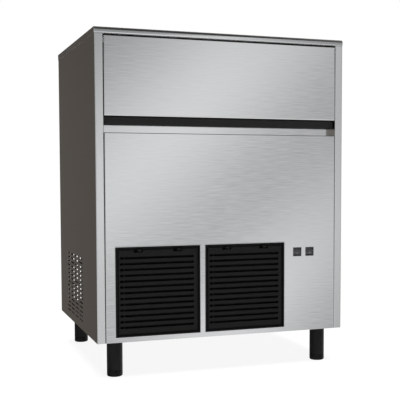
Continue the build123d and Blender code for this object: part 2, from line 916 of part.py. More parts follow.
with BuildPart() as blade:
    root = blade_section(hub_radius - blade_sunk, blade_root, blade_pitch_root)
    tip = blade_section(fan_radius, blade_tip, blade_pitch_tip)
    loft(sections=[root.face(), tip.face()])

fan_axis = Axis((grille_left_x, fan_y, fan_z), (0, 1, 0))
with BuildPart() as fan_rotor:
    with BuildSketch(facing_front(fan_y + hub_height / 2)):
        with Locations((grille_left_x, fan_z)):
            Circle(hub_radius)
    extrude(amount=hub_height)
    for turn in range(fan_blades):
        add(blade.part.rotate(fan_axis, 360 / fan_blades * turn))
    with BuildSketch(facing_front(fan_y + hub_height / 2)):
        with Locations((grille_left_x, fan_z)):
            Circle(shaft_radius + running)
    extrude(amount=hub_height / 2, mode=Mode.SUBTRACT)
save(fan_rotor, "fan_rotor")

# Fan motor and the strap that holds it behind the shroud
motor_front = fan_y + hub_height / 2 + motor_gap
motor_back = motor_front + motor_height
with BuildPart() as fan_motor:
    with BuildSketch(facing_front(motor_back)):
        with Locations((grille_left_x, fan_z)):
            Circle(motor_radius)
    extrude(amount=motor_height)
    fillet(fan_motor.edges().sort_by(Axis.Y)[0], motor_edge)
    with BuildSketch(facing_front(motor_front)):
        with Locations((grille_left_x, fan_z)):
            Circle(shaft_radius)
    extrude(amount=motor_gap + hub_height / 3)
save(fan_motor, "fan_motor")

strap_half = condenser_height / 2 - bracket_inset
with BuildPart() as motor_strap:
    with BuildSketch(facing_right(grille_left_x - bracket_width / 2)):
        with BuildLine():
            FilletPolyline(
                (shroud_back, fan_z + strap_half),
                (motor_back, fan_z + strap_half),
                (motor_back, fan_z - strap_half),
                (shroud_back, fan_z - strap_half),
                radius=bracket_bend,
            )
            offset(amount=pan_sheet, side=Side.LEFT, kind=Kind.ARC)
        make_face()
    extrude(amount=bracket_width)
save(motor_strap, "motor_strap")

# Compressor: a welded shell on its base plate, with a stub for each pipe
plate_z = base + pan_sheet + mount_height
shell_z = plate_z + plate_thick
suction_z = shell_z + suction_rise
discharge_z = shell_z + discharge_rise
stub_end = shell_radius + stub_reach
compressor_x = suction_x - stub_end - suction_run
compressor_y = rear - compressor_setback
with BuildPart() as compressor:
    with BuildSketch(Plane.XY.offset(plate_z)):
        with Locations((compressor_x, compressor_y)):
            RectangleRounded(plate_length, plate_width, plate_corner)
    extrude(amount=plate_thick)
    with BuildSketch(Plane.XY.offset(shell_z)):
        with Locations((compressor_x, compressor_y)):
            Circle(shell_radius)
    extrude(amount=shell_height)
    fillet(compressor.edges().group_by(Axis.Z)[-1], shell_crown)
    for hand, z in ((1, suction_z), (-1, discharge_z)):
        with BuildSketch(facing_right(compressor_x + hand * stub_end)):
            with Locations((compressor_y, z)):
                Circle(stub_radius)
        extrude(amount=-hand * (stub_reach + shell_radius / 2))
save(compressor, "compressor")

with BuildPart() as compressor_mounts:
    with BuildSketch(Plane.XY.offset(base + pan_sheet)):
        with Locations((compressor_x, compressor_y)):
            with GridLocations(plate_length - 2 * plate_corner, plate_width - 2 * plate_corner, 2, 2):
                Circle(mount_radius)
    extrude(amount=mount_height)
save(compressor_mounts, "compressor_mounts")

# Spray chamber: a moulded hood with a ledge for the evaporator and an ice outlet in front
chamber_front = chamber_rear - chamber_depth
chamber_bottom = chamber_top - chamber_height
ledge_z = chamber_top - plate_drop - plate_sheet
inner_half = chamber_half - chamber_wall
ledge_half = inner_half - chamber_ledge
rod_y = chamber_front - rod_reach
rod_z = chamber_bottom + outlet_height + hem_radius + hem_gap
lug_ends = [-chamber_half, chamber_half - lug_width]
with BuildPart() as spray_chamber:
    block(-chamber_half, chamber_half, chamber_front, chamber_rear, chamber_bottom, chamber_top)
    block(
        -inner_half, inner_half, chamber_front + chamber_wall, chamber_rear - chamber_wall,
        ledge_z, chamber_top, mode=Mode.SUBTRACT,
    )
    block(
        -ledge_half, ledge_half, chamber_front + chamber_wall + chamber_ledge,
        chamber_rear - chamber_wall - chamber_ledge, chamber_bottom, ledge_z, mode=Mode.SUBTRACT,
    )
    block(
        -ledge_half, ledge_half, chamber_front, chamber_front + chamber_wall + chamber_ledge,
        chamber_bottom, chamber_bottom + outlet_height, mode=Mode.SUBTRACT,
    )
    for x in lug_ends:
        block(x, x + lug_width, rod_y - hem_radius, chamber_front, rod_z - hem_radius, rod_z + hem_radius)
    with BuildSketch(facing_right(-chamber_half)):
        with Locations((rod_y, rod_z)):
            Circle(rod_radius + free)
    extrude(amount=chamber_width, mode=Mode.SUBTRACT)
    with BuildSketch(facing_front(chamber_rear)):
        with Locations((suction_x, coil_z), (hot_gas_x, coil_z)):
            Circle(pipe_hole)
    extrude(amount=chamber_wall, mode=Mode.SUBTRACT)
save(spray_chamber, "spray_chamber")

# Evaporator: a plate with rows of tapered cups, open downward
plate_y = (chamber_front + chamber_rear) / 2
plate_top = ledge_z + plate_sheet
cup_columns = int((2 * ledge_half - 2 * cup_margin) // cup_pitch)
with BuildPart() as evaporator:
    block(
        -inner_half + fit, inner_half - fit, chamber_front + chamber_wall + fit,
        chamber_rear - chamber_wall - fit, ledge_z, plate_top,
    )
    with BuildSketch(Plane.XY.offset(ledge_z - cup_height)):
        with Locations((0, plate_y)):
            with GridLocations(cup_pitch, cup_pitch, cup_columns, cup_rows):
                Rectangle(cup_mouth, cup_mouth)
    extrude(amount=cup_height, taper=cup_draft)
    with BuildSketch(Plane.XY.offset(ledge_z - cup_height)):
        with Locations((0, plate_y)):
            with GridLocations(cup_pitch, cup_pitch, cup_columns, cup_rows):
                Rectangle(cup_mouth - 2 * cup_wall, cup_mouth - 2 * cup_wall)
    extrude(amount=cup_height - cup_wall, taper=cup_draft, mode=Mode.SUBTRACT)
save(evaporator, "evaporator")


def pipe(points, radius, bend):
    """Return a round bar swept along straight runs joined by tangent arcs."""
    with BuildPart() as bar:
        with BuildLine() as route:
            FilletPolyline(*points, radius=bend)
        with BuildSketch(Plane(origin=route.line @ 0, z_dir=route.line % 0)):
            Circle(radius)
        sweep()
    return bar.part


# Evaporator coil: one tube, back and forth over the plate, with both tails out through the rear wall
run_ys = [plate_y + coil_pitch * (row - (coil_runs - 1) / 2) for row in range(coil_runs)]
coil_right = suction_x - coil_inset
coil_left = hot_gas_x + coil_inset
coil_points = [
    (hot_gas_x, pipe_y, coil_z - tail_drop),
    (hot_gas_x, pipe_y, coil_z),
    (hot_gas_x, run_ys[0], coil_z),
]
for row in range(1, coil_runs):
    turn_x = coil_right if row % 2 else coil_left
    coil_points.append((turn_x, run_ys[row - 1], coil_z))
    coil_points.append((turn_x, run_ys[row], coil_z))
coil_points.append((suction_x, run_ys[-1], coil_z))
coil_points.append((suction_x, pipe_y, coil_z))
coil_points.append((suction_x, pipe_y, coil_z - tail_drop))
with BuildPart() as evaporator_coil:
    add(pipe(coil_points, coil_radius, pipe_bend))
save(evaporator_coil, "evaporator_coil")

# Ice slide: a slotted sheet that falls toward the outlet
slide_front = chamber_front + chamber_wall + chamber_ledge + slide_gap
slide_back = chamber_rear - chamber_wall - chamber_ledge - fit
slide_half = ledge_half - fit
slide_low = chamber_bottom + slide_rise
slide_angle = math.degrees(math.atan2(slide_fall, slide_back - slide_front))
slide_run = math.hypot(slide_fall, slide_back - slide_front)
slide_middle = ((slide_front + slide_back) / 2, slide_low + slide_fall / 2)
slide_plane = Plane(
    origin=(0, slide_middle[0], slide_middle[1]),
    x_dir=(1, 0, 0),
    z_dir=(0, -math.sin(math.radians(slide_angle)), math.cos(math.radians(slide_angle))),
)
with BuildPart() as ice_slide:
    with BuildSketch(slide_plane):
        Rectangle(2 * slide_half, slide_run)
        with GridLocations(2 * slide_half / (slide_slots + 1), 0, slide_slots, 1):
            Rectangle(slide_slot_width, slide_run - 2 * slide_margin, mode=Mode.SUBTRACT)
    extrude(amount=slide_thick)
save(ice_slide, "ice_slide")

# Water tray under the chamber, with a moulded overflow pipe and room beside it for the pump
tray_top = chamber_bottom - fit
tray_bottom = tray_top - tray_height
tray_right = chamber_half + tray_extra
with BuildPart() as water_tray:
    block(-chamber_half, tray_right, chamber_front, chamber_rear, tray_bottom, tray_top)
    offset(amount=-tray_wall, openings=water_tray.faces().sort_by(Axis.Z)[-1])
    with BuildSketch(Plane.XY.offset(tray_bottom + tray_wall)):
        with Locations((-chamber_half + overflow_inset, chamber_rear - overflow_inset)):
            Circle(overflow_radius)
    extrude(amount=tray_height - tray_wall - overflow_drop)
    with BuildSketch(Plane.XY.offset(tray_bottom)):
        with Locations((-chamber_half + overflow_inset, chamber_rear - overflow_inset)):
            Circle(overflow_radius - tray_wall)
    extrude(amount=tray_height, mode=Mode.SUBTRACT)
save(water_tray, "water_tray")

# Spray bar: a manifold across the tray, with a row of nozzles
bar_z = tray_bottom + tray_wall
bar_top = bar_z + tray_height - tray_wall - bar_size / 2
with BuildPart() as spray_bar:
    block(
        -ledge_half + bar_inset, ledge_half - bar_inset, plate_y - bar_size / 2, plate_y + bar_size / 2,
        bar_top - bar_size, bar_top,
    )
    for hand in (-1, 1):
        x = hand * (ledge_half - bar_inset - bar_size)
        block(
            x - bar_leg / 2, x + bar_leg / 2, plate_y - bar_leg / 2, plate_y + bar_leg / 2,
            bar_z, bar_top - bar_size,
        )
    nozzle_pitch = 2 * (ledge_half - 2 * bar_inset) / (nozzle_count - 1)
    with BuildSketch(Plane.XY.offset(bar_top)):
        with Locations((0, plate_y)):
            with GridLocations(nozzle_pitch, 0, nozzle_count, 1):
                RegularPolygon(nozzle_radius, 6)
    extrude(amount=nozzle_height, taper=nozzle_draft)
save(spray_bar, "spray_bar")

# Water pump in the tray's side room, and its hose to the spray bar
pump_x = chamber_half + (tray_extra - tray_wall) / 2
with BuildPart() as water_pump:
    with BuildSketch(Plane.XY.offset(bar_z)):
        with Locations((pump_x, plate_y)):
            Circle(pump_radius)
    extrude(amount=pump_housing)
    with BuildSketch(Plane.XY.offset(bar_z + pump_housing)):
        with Locations((pump_x, plate_y)):
            Circle(pump_neck_radius)
    extrude(amount=pump_neck)
    with BuildSketch(Plane.XY.offset(bar_z + pump_housing + pump_neck)):
        with Locations((pump_x, plate_y)):
            Circle(pump_radius)
    extrude(amount=pump_motor)
    fillet(water_pump.edges().sort_by(Axis.Z)[-1], pump_edge)
save(water_pump, "water_pump")

hose_left = ledge_half - bar_inset + fit
with BuildPart() as pump_hose:
    with BuildSketch(facing_right(hose_left)):
        with Locations((plate_y, bar_top - bar_size / 2)):
            Circle(pump_hose_radius)
    extrude(amount=pump_x - pump_radius - fit - hose_left)
save(pump_hose, "pump_hose")

# Curtain rod and its flaps, in front of the ice outlet
with BuildPart() as curtain_rod:
    with BuildSketch(facing_right(-chamber_half)):
        with Locations((rod_y, rod_z)):
            Circle(rod_radius)
    extrude(amount=chamber_width)
save(curtain_rod, "curtain_rod")

flap_span = chamber_width - 2 * lug_width
flap_width = (flap_span - (flap_count + 1) * flap_gap) / flap_count
for number in range(flap_count):
    flap_left = -flap_span / 2 + flap_gap + number * (flap_width + flap_gap)
    with BuildPart() as curtain_flap:
        with BuildSketch(facing_right(flap_left)):
            with Locations((rod_y, rod_z)):
                Circle(hem_radius)
            with Locations((rod_y, rod_z - flap_drop / 2)):
                Rectangle(flap_thick, flap_drop)
            with Locations((rod_y, rod_z)):
                Circle(rod_radius + running, mode=Mode.SUBTRACT)
        extrude(amount=flap_width)
    save(curtain_flap, f"curtain_flap_{number + 1}")

# Suction pipe: from the coil's right tail down the chase to the compressor
tail_z = coil_z - tail_drop
with BuildPart() as suction_line:
    add(pipe(
        [
            (suction_x, pipe_y, tail_z),
            (suction_x, pipe_y, suction_z),
            (suction_x, compressor_y, suction_z),
            (compressor_x + stub_end, compressor_y, suction_z),
        ],
        coil_radius,
        pipe_bend,
    ))
save(suction_line, "suction_line")

# Discharge pipe: from the compressor to the condenser's right header
loop_z = condenser_high + pipe_loop
discharge_x = grille_left_x + condenser_half + discharge_gap
with BuildPart() as discharge_line:
    add(pipe(
        [
            (compressor_x - stub_end, compressor_y, discharge_z),
            (discharge_x, compressor_y, discharge_z),
            (discharge_x, header_y, discharge_z),
            (discharge_x, header_y, loop_z),
            (grille_left_x + header_x, header_y, loop_z),
            (grille_left_x + header_x, header_y, condenser_high),
        ],
        coil_radius,
        pipe_bend,
    ))
save(discharge_line, "discharge_line")

# Liquid pipe: from the condenser's left header through the drier and up to the coil's left tail
drier_front = header_y + drier_setback
drier_back = drier_front + drier_length
with BuildPart() as liquid_line:
    add(pipe(
        [
            (grille_left_x - header_x, header_y, condenser_high),
            (grille_left_x - header_x, header_y, loop_z),
            (hot_gas_x, header_y, loop_z),
            (hot_gas_x, drier_front, loop_z),
        ],
        coil_radius,
        pipe_bend,
    ))
    add(pipe(
        [
            (hot_gas_x, drier_back, loop_z),
            (hot_gas_x, pipe_y, loop_z),
            (hot_gas_x, pipe_y, tail_z),
        ],
        coil_radius,
        pipe_bend,
    ))
save(liquid_line, "liquid_line")

# Filter drier: a spun copper shell that necks down at both ends
with BuildPart() as filter_drier:
    with BuildSketch(Plane(origin=(hot_gas_x, 0, loop_z), x_dir=(0, 1, 0), z_dir=(1, 0, 0))):
        with BuildLine():
            Polyline(
                (drier_front, 0),
                (drier_front, coil_radius + 1),
                (drier_front + drier_neck, coil_radius + 1),
                (drier_front + 2 * drier_neck, drier_radius),
                (drier_back - 2 * drier_neck, drier_radius),
                (drier_back - drier_neck, coil_radius + 1),
                (drier_back, coil_radius + 1),
                (drier_back, 0),
                close=True,
            )
        make_face()
    revolve(axis=Axis((hot_gas_x, 0, loop_z), (0, 1, 0)))
save(filter_drier, "filter_drier")

# Drain hose: from the bin's floor down through the deck and back to the drain outlet
fitting_end = rear_inner - fitting_flange - fitting_grip
with BuildPart() as drain_hose:
    add(pipe(
        [
            (drain_x, drain_y, liner_bottom + bin_wall),
            (drain_x, drain_y, base + fitting_rise),
            (drain_x, fitting_end, base + fitting_rise),
        ],
        hose_radius,
        hose_bend,
    ))
save(drain_hose, "drain_hose")

# Water valve behind the water inlet, with its coil on top
valve_half = valve_size / 2
with BuildPart() as water_valve:
    block(
        inlet_x - valve_half, inlet_x + valve_half, fitting_end - valve_size, fitting_end,
        base + fitting_rise - valve_half, base + fitting_rise + valve_half,
    )
    with BuildSketch(Plane.XY.offset(base + fitting_rise + valve_half)):
        with Locations((inlet_x, fitting_end - valve_half)):
            Circle(valve_half - valve_coil_inset)
    extrude(amount=valve_size)
save(water_valve, "water_valve")

# Control box under the deck, behind the switches
box_x = sum(switch_xs) / len(switch_xs)
box_front = front + switch_body_depth + box_setback
with BuildPart() as control_box:
    block(
        box_x - box_width / 2, box_x + box_width / 2, box_front, box_front + box_depth,
        deck_bottom - box_height, deck_bottom,
    )
    fillet(control_box.edges().filter_by(Axis.Y), box_edge)
save(control_box, "control_box")


# Rear fittings: each a spigot with a collar outside the rear panel and a flange behind it
def rear_fitting(x, radius, reach, bore):
    """Model a bored fitting whose spigot reaches out of the rear panel, inside the current part."""
    place = (x, base + fitting_rise)
    lengths = (
        (radius + fitting_neck, fitting_end, rear),
        (radius + fitting_rim, rear_inner - fitting_flange, rear_inner),
        (radius + fitting_rim, rear, rear + fitting_collar),
        (radius, rear + fitting_collar, rear + reach),
    )
    for ring_radius, y0, y1 in lengths:
        with BuildSketch(facing_front(y0)) as ring:
            with Locations(place):
                Circle(ring_radius)
                Circle(bore, mode=Mode.SUBTRACT)
        extrude(ring.sketch, amount=y0 - y1)


with BuildPart() as water_inlet:
    rear_fitting(inlet_x, inlet_radius, fitting_collar + inlet_length, inlet_bore)
save(water_inlet, "water_inlet")

with BuildPart() as drain_outlet:
    rear_fitting(drain_x, drain_radius, rear_reach, drain_bore)
save(drain_outlet, "drain_outlet")

with BuildPart() as cable_gland:
    rear_fitting(gland_x, gland_radius, fitting_collar + gland_length, gland_bore)
save(cable_gland, "cable_gland")
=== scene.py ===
import json
import logging
import math
from abc import ABC, abstractmethod
from dataclasses import dataclass, field
from enum import Enum

import bmesh
import bpy
from mathutils import Matrix, Vector


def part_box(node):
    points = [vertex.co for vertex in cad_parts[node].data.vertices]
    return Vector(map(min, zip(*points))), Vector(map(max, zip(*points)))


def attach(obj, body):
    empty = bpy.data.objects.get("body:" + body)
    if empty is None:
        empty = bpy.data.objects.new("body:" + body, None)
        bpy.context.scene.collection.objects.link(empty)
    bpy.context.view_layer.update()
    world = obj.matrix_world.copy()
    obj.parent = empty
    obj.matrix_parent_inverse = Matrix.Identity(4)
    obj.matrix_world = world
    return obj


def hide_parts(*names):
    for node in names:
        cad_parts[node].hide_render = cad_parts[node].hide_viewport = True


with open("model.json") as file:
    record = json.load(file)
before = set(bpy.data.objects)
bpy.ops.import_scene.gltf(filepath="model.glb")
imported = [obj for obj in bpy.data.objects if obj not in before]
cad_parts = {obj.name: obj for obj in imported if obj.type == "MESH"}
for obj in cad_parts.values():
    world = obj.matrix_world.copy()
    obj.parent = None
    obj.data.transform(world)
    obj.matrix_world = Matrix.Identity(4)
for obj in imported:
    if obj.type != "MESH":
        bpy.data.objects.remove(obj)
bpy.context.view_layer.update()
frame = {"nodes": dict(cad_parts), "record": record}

# An ice cube machine: brushed steel front and door, steel sides darkened by painted shade, black grilles,
# grip and feet.
# Lengths are in metres. X runs to the right of the front, Y to the rear and Z up from the floor.

log = logging.getLogger("ice_machine")
Pair = tuple[float, float]
Point = tuple[float, float, float]
Colour = tuple[float, float, float]
Shape = bmesh.types.BMesh
Vert = bmesh.types.BMVert
Edge = bmesh.types.BMEdge
Socket = bpy.types.NodeSocket
Source = Socket | float | Point
MM = 0.001

# Points nearer than this are one.
TOUCH = 1e-6

# How much lower the cover's sheet hangs than the solid cover does.
COVER_LIP = 2.6 * MM

# Most of a noise's values lie between these.
NOISE: Pair = (0.3, 0.7)
WHOLE: Pair = (0.0, 1.0)


class Axis(Enum):
    """A direction of the machine, as an index into a point."""

    X = 0
    Y = 1
    Z = 2


class Slot(Enum):
    """The record's material slots."""

    FRONT_STEEL = "brushed_stainless"
    SIDE_STEEL = "stainless_side"
    GALVANISED = "galvanised"
    BLACK_PLASTIC = "black_plastic"
    SWITCH_GREY = "switch_grey"
    WHITE_PLASTIC = "white_plastic"
    FOAM = "foam"
    GREY_RUBBER = "grey_rubber"
    CLEAR_CURTAIN = "clear_curtain"
    COPPER = "copper"
    ALUMINIUM = "aluminium"
    BLACK_PAINT = "black_paint"
    FILTER_MESH = "filter_mesh"
    ZINC = "zinc"
    BRASS = "brass"
    GREY_PLASTIC = "grey_plastic"


@dataclass
class Graph:
    """A node tree, with short calls for the nodes that the finishes and the studio share.

    Args:
        tree: The tree of a material or of the world.
    """

    tree: bpy.types.NodeTree

    @property
    def shader(self) -> bpy.types.Node:
        """The principled shader."""
        return self.tree.nodes["Principled BSDF"]

    def wire(self, source: Source, target: Socket) -> None:
        """Link an output to an input, or set the input.

        Args:
            source: The output, or the number, vector or colour to set.
            target: The input.
        """
        if isinstance(source, Socket):
            self.tree.links.new(source, target)
        elif target.type == "RGBA":
            target.default_value = (*source, 1.0)
        else:
            target.default_value = source

    def node(self, kind: str, inputs: dict[str, Source] | None = None, **settings: object) -> bpy.types.Node:
        """Add a node.

        Args:
            kind: The node's type name, without its ShaderNode prefix.
            inputs: What goes into its inputs, by their names.
            settings: Values for the node's own properties.

        Returns:
            The new node.
        """
        made = self.tree.nodes.new("ShaderNode" + kind)
        for name, value in settings.items():
            setattr(made, name, value)
        for name, source in (inputs or {}).items():
            self.wire(source, made.inputs[name])
        return made

    def place(self, stretch: Point = (1.0, 1.0, 1.0)) -> Socket:
        """Return the object's own coordinates, stretched along each axis."""
        coordinates = self.node("TexCoord").outputs["Object"]
        return self.node("Mapping", {"Vector": coordinates, "Scale": stretch}).outputs["Vector"]

    def split(self, vector: Socket) -> bpy.types.NodeOutputs:
        """Return the outputs X, Y and Z of a vector."""
        return self.node("SeparateXYZ", {"Vector": vector}).outputs

    def reckon(self, operation: str, first: Source, second: Source | None = None,
               kind: str = "Math") -> Socket:
        """Work out one number.

        Args:
            operation: What the node does.
            first: Its first value.
            second: Its second value, or none where it takes one.
            kind: Math for numbers, or VectorMath for vectors.

        Returns:
            The node's output.
        """
        made = self.node(kind, operation=operation)
        self.wire(first, made.inputs[0])
        if second is not None:
            self.wire(second, made.inputs[1])
        return made.outputs["Value"]

    def noise(self, where: Socket, scale: float, detail: float = 2.0) -> Socket:
        """Return a noise value from 0 to 1, with so many cells a metre and so many finer layers."""
        return self.node("TexNoise", {"Vector": where, "Scale": scale, "Detail": detail}).outputs["Fac"]

    def span(self, value: Socket, source: Pair, target: Pair, curve: str = "LINEAR") -> Socket:
        """Map a value from a source range to a target range, clamped, straight or along a curve."""
        ends = {"From Min": source[0], "From Max": source[1], "To Min": target[0], "To Max": target[1]}
        return self.node("MapRange", {"Value": value, **ends}, interpolation_type=curve).outputs["Result"]

    def blend(self, factor: Socket, first: Source, second: Source) -> Socket:
        """Return a colour between two, by a factor from 0 to 1."""
        mix = self.node("Mix", {"Factor": factor, "A": first, "B": second}, data_type="RGBA")
        return mix.outputs["Result"]

    def vary(self, factor: Socket, colour: Colour, share: float) -> Socket:
        """Return a colour that goes from darker to lighter by a share of itself."""
        return self.blend(factor, tint(colour, 1 - share), tint(colour, 1 + share))

    def bump(self, height: Socket, strength: float, distance: float) -> None:
        """Raise the surface by a height from 0 to 1, where 1 is so many metres."""
        inputs = {"Height": height, "Strength": strength, "Distance": distance}
        self.set(Normal=self.node("Bump", inputs).outputs["Normal"])

    def set(self, **values: Source) -> None:
        """Wire or set the shader's own inputs, by name with _ for each space."""
        for name, value in values.items():
            self.wire(value, self.shader.inputs[name.replace("_", " ")])

    def show(self, lit: Socket, white: Socket, share: Source, output: str) -> None:
        """End the tree with what lights the object, and with white for what the camera sees.

        Args:
            lit: The shader that lights the object.
            white: The shader that the camera sees, also through clear pieces.
            share: How much of the white it sees.
            output: The name of the tree's output.
        """
        path = self.node("LightPath").outputs
        seen = self.reckon("MAXIMUM", path["Is Camera Ray"], path["Is Transmission Ray"])
        mix = self.node("MixShader", {"Fac": self.reckon("MULTIPLY", share, seen)})
        self.wire(lit, mix.inputs[1])
        self.wire(white, mix.inputs[2])
        self.wire(mix.outputs["Shader"], self.tree.nodes[output].inputs["Surface"])


def new_material(name: str) -> bpy.types.Material:
    """Make a material with its shader alone.

    Args:
        name: The material's name.

    Returns:
        The new material.
    """
    material = bpy.data.materials.new(name)
    material.use_nodes = True
    return material


def tint(colour: Colour, share: float) -> Colour:
    """Return a colour made lighter or darker by a share of itself."""
    return tuple(min(1.0, channel * share) for channel in colour)


@dataclass(frozen=True)
class Finish(ABC):
    """A surface finish, which makes its material once.

    Args:
        label: The material's name.
        colour: The colour that it starts from.
    """

    label: str
    colour: Colour

    @abstractmethod
    def paint(self, graph: Graph) -> None:
        """Set the shader and add its texture nodes.

        Args:
            graph: The material's tree.
        """

    def material(self) -> bpy.types.Material:
        """Return the finish's material, made on the first call."""
        if self.label not in bpy.data.materials:
            self.paint(Graph(new_material(self.label).node_tree))
        return bpy.data.materials[self.label]


@dataclass(frozen=True)
class BrushedSteel(Finish):
    """Stainless sheet, ground in one direction.

    Args:
        grain: The axis that the grinding lines run along.
        roughness: The sheet's mean roughness.
        drift: How far the tone drifts over the sheet, as a share.
        edge_tint: The tint of what it mirrors at a grazing angle.
        post: The depth up to which the sheet is the front post, and the post's colour with its painted
            light, or nothing.
        fine: The lines' noise cells in a metre across them.
        long: The lines' noise cells in a metre along them.
    """

    grain: Axis
    roughness: float = 0.15
    drift: float = 0.085
    edge_tint: Colour = (1.0, 1.0, 1.0)
    post: tuple[float, Colour] | None = None
    fine: float = 380.0
    long: float = 17.0

    def paint(self, graph: Graph) -> None:
        """Wire long grinding lines to the tone, the roughness and a shallow bump.

        Args:
            graph: The material's tree.
        """
        stretch = [self.fine] * 3
        stretch[self.grain.value] = self.long
        lines = graph.noise(graph.place(tuple(stretch)), 1.0, 3.0)
        clouds = graph.noise(graph.place(), 1.7, 1.0)
        both = graph.reckon("ADD", graph.span(lines, NOISE, (0.0, 0.8)),
                            graph.span(clouds, (0.35, 0.65), (0.0, 0.2)))
        tone = graph.vary(both, self.colour, self.drift)
        # The front post takes its own colour, lighter than the front's as painted light, in place of the
        # sides' painted shade.
        if self.post:
            edge, post_lit_colour = self.post
            behind = graph.span(graph.split(graph.place())["Y"], (edge, edge + 0.4 * MM), WHOLE)
            tone = graph.blend(behind, post_lit_colour, tone)
        rough = graph.span(lines, (0.25, 0.75), (self.roughness - 0.03, self.roughness + 0.03))
        graph.bump(lines, 0.03, 0.01 * MM)
        graph.set(Base_Color=tone, Roughness=rough, Metallic=1.0, Specular_Tint=self.edge_tint)


@dataclass(frozen=True)
class Moulded(Finish):
    """Moulded or sheet plastic, rubber or foam with a fine grain.

    Args:
        roughness: Its roughness.
        grain: The grain's size, in metres.
        depth: The grain's depth, in metres.
        clearness: The share of light that passes through.
        gloss: How strongly its surface mirrors, where 0.5 is plain plastic.
    """

    roughness: float = 0.45
    grain: float = 0.6 * MM
    depth: float = 0.03 * MM
    clearness: float = 0.0
    gloss: float = 0.5

    def paint(self, graph: Graph) -> None:
        """Wire a fine grain to the bump and a slow drift to the tone and roughness.

        Args:
            graph: The material's tree.
        """
        grain = graph.noise(graph.place(), 1.0 / self.grain)
        drift = graph.noise(graph.place(), 9.0)
        tone = graph.vary(graph.span(drift, NOISE, WHOLE), self.colour, 0.07)
        rough = graph.span(drift, NOISE, (self.roughness - 0.04, self.roughness + 0.05))
        graph.bump(grain, 0.4, self.depth)
        graph.set(Base_Color=tone, Roughness=rough, Specular_IOR_Level=self.gloss)
        if self.clearness:
            graph.set(Transmission_Weight=self.clearness, IOR=1.45)


@dataclass(frozen=True)
class Drawn(Finish):
    """Bare or plated metal with fine uneven wear, such as tube, castings and screws.

    Args:
        roughness: Its roughness.
        patch: The size of its uneven patches, in metres.
        contrast: How far the patches differ, as a share.
    """

    roughness: float = 0.32
    patch: float = 20 * MM
    contrast: float = 0.08

    def paint(self, graph: Graph) -> None:
        """Wire patches to the tone, the roughness and a shallow bump.

        Args:
            graph: The material's tree.
        """
        patches = graph.noise(graph.place(), 1.0 / self.patch, 3.0)
        tone = graph.vary(graph.span(patches, (0.35, 0.65), WHOLE), self.colour, self.contrast)
        rough = graph.span(patches, NOISE, (self.roughness - 0.05, self.roughness + 0.08))
        graph.bump(patches, 0.15, 0.05 * MM)
        graph.set(Base_Color=tone, Roughness=rough, Metallic=1.0)


@dataclass(frozen=True)
class Spangled(Finish):
    """Galvanised sheet, with its crystal flakes.

    Args:
        flake: The size of a flake, in metres.
    """

    flake: float = 14 * MM

    def paint(self, graph: Graph) -> None:
        """Wire a cell pattern to the tone and roughness.

        Args:
            graph: The material's tree.
        """
        cells = graph.node("TexVoronoi", {"Vector": graph.place(), "Scale": 1.0 / self.flake})
        grey = graph.node("RGBToBW", {"Color": cells.outputs["Color"]}).outputs["Val"]
        tone = graph.vary(grey, self.colour, 0.1)
        rough = graph.span(grey, WHOLE, (0.36, 0.52))
        graph.set(Base_Color=tone, Roughness=rough, Metallic=0.9)


@dataclass(frozen=True)
class Screen(Finish):
    """A woven filter screen.

    Args:
        pitch: The distance between threads, in metres.
    """

    pitch: float = 1.6 * MM

    def paint(self, graph: Graph) -> None:
        """Wire two crossed sets of threads to the bump, and to the tone, which goes darker between the
        threads as painted shade.

        Args:
            graph: The material's tree.
        """
        apart = graph.split(graph.place())
        turns = (graph.reckon("MULTIPLY", apart[name], math.tau / self.pitch) for name in ("X", "Z"))
        top = graph.reckon("MAXIMUM", *(graph.reckon("SINE", turn) for turn in turns))
        height = graph.span(top, (-0.2, 1.0), WHOLE)
        # Painted shade: the tone falls to a quarter between the threads.
        tone = graph.blend(height, tint(self.colour, 0.25), self.colour)
        graph.bump(height, 0.8, 0.4 * MM)
        graph.set(Base_Color=tone, Roughness=0.6, Specular_IOR_Level=0.1)


FRONT_COLOUR: Colour = (0.570, 0.577, 0.584)
# This steel, on the sides and the cover, is painted darker than the front's as painted shade, for the side
# that gets less light.
SIDE_SHADED_COLOUR: Colour = (0.33, 0.315, 0.295)
SIDE_EDGE: Colour = (0.60, 0.545, 0.50)
# The front posts are painted 8% lighter than the front: painted light.
POST_LIT_COLOUR = tint(FRONT_COLOUR, 1.08)
POST_DEPTH = 2.0 * MM

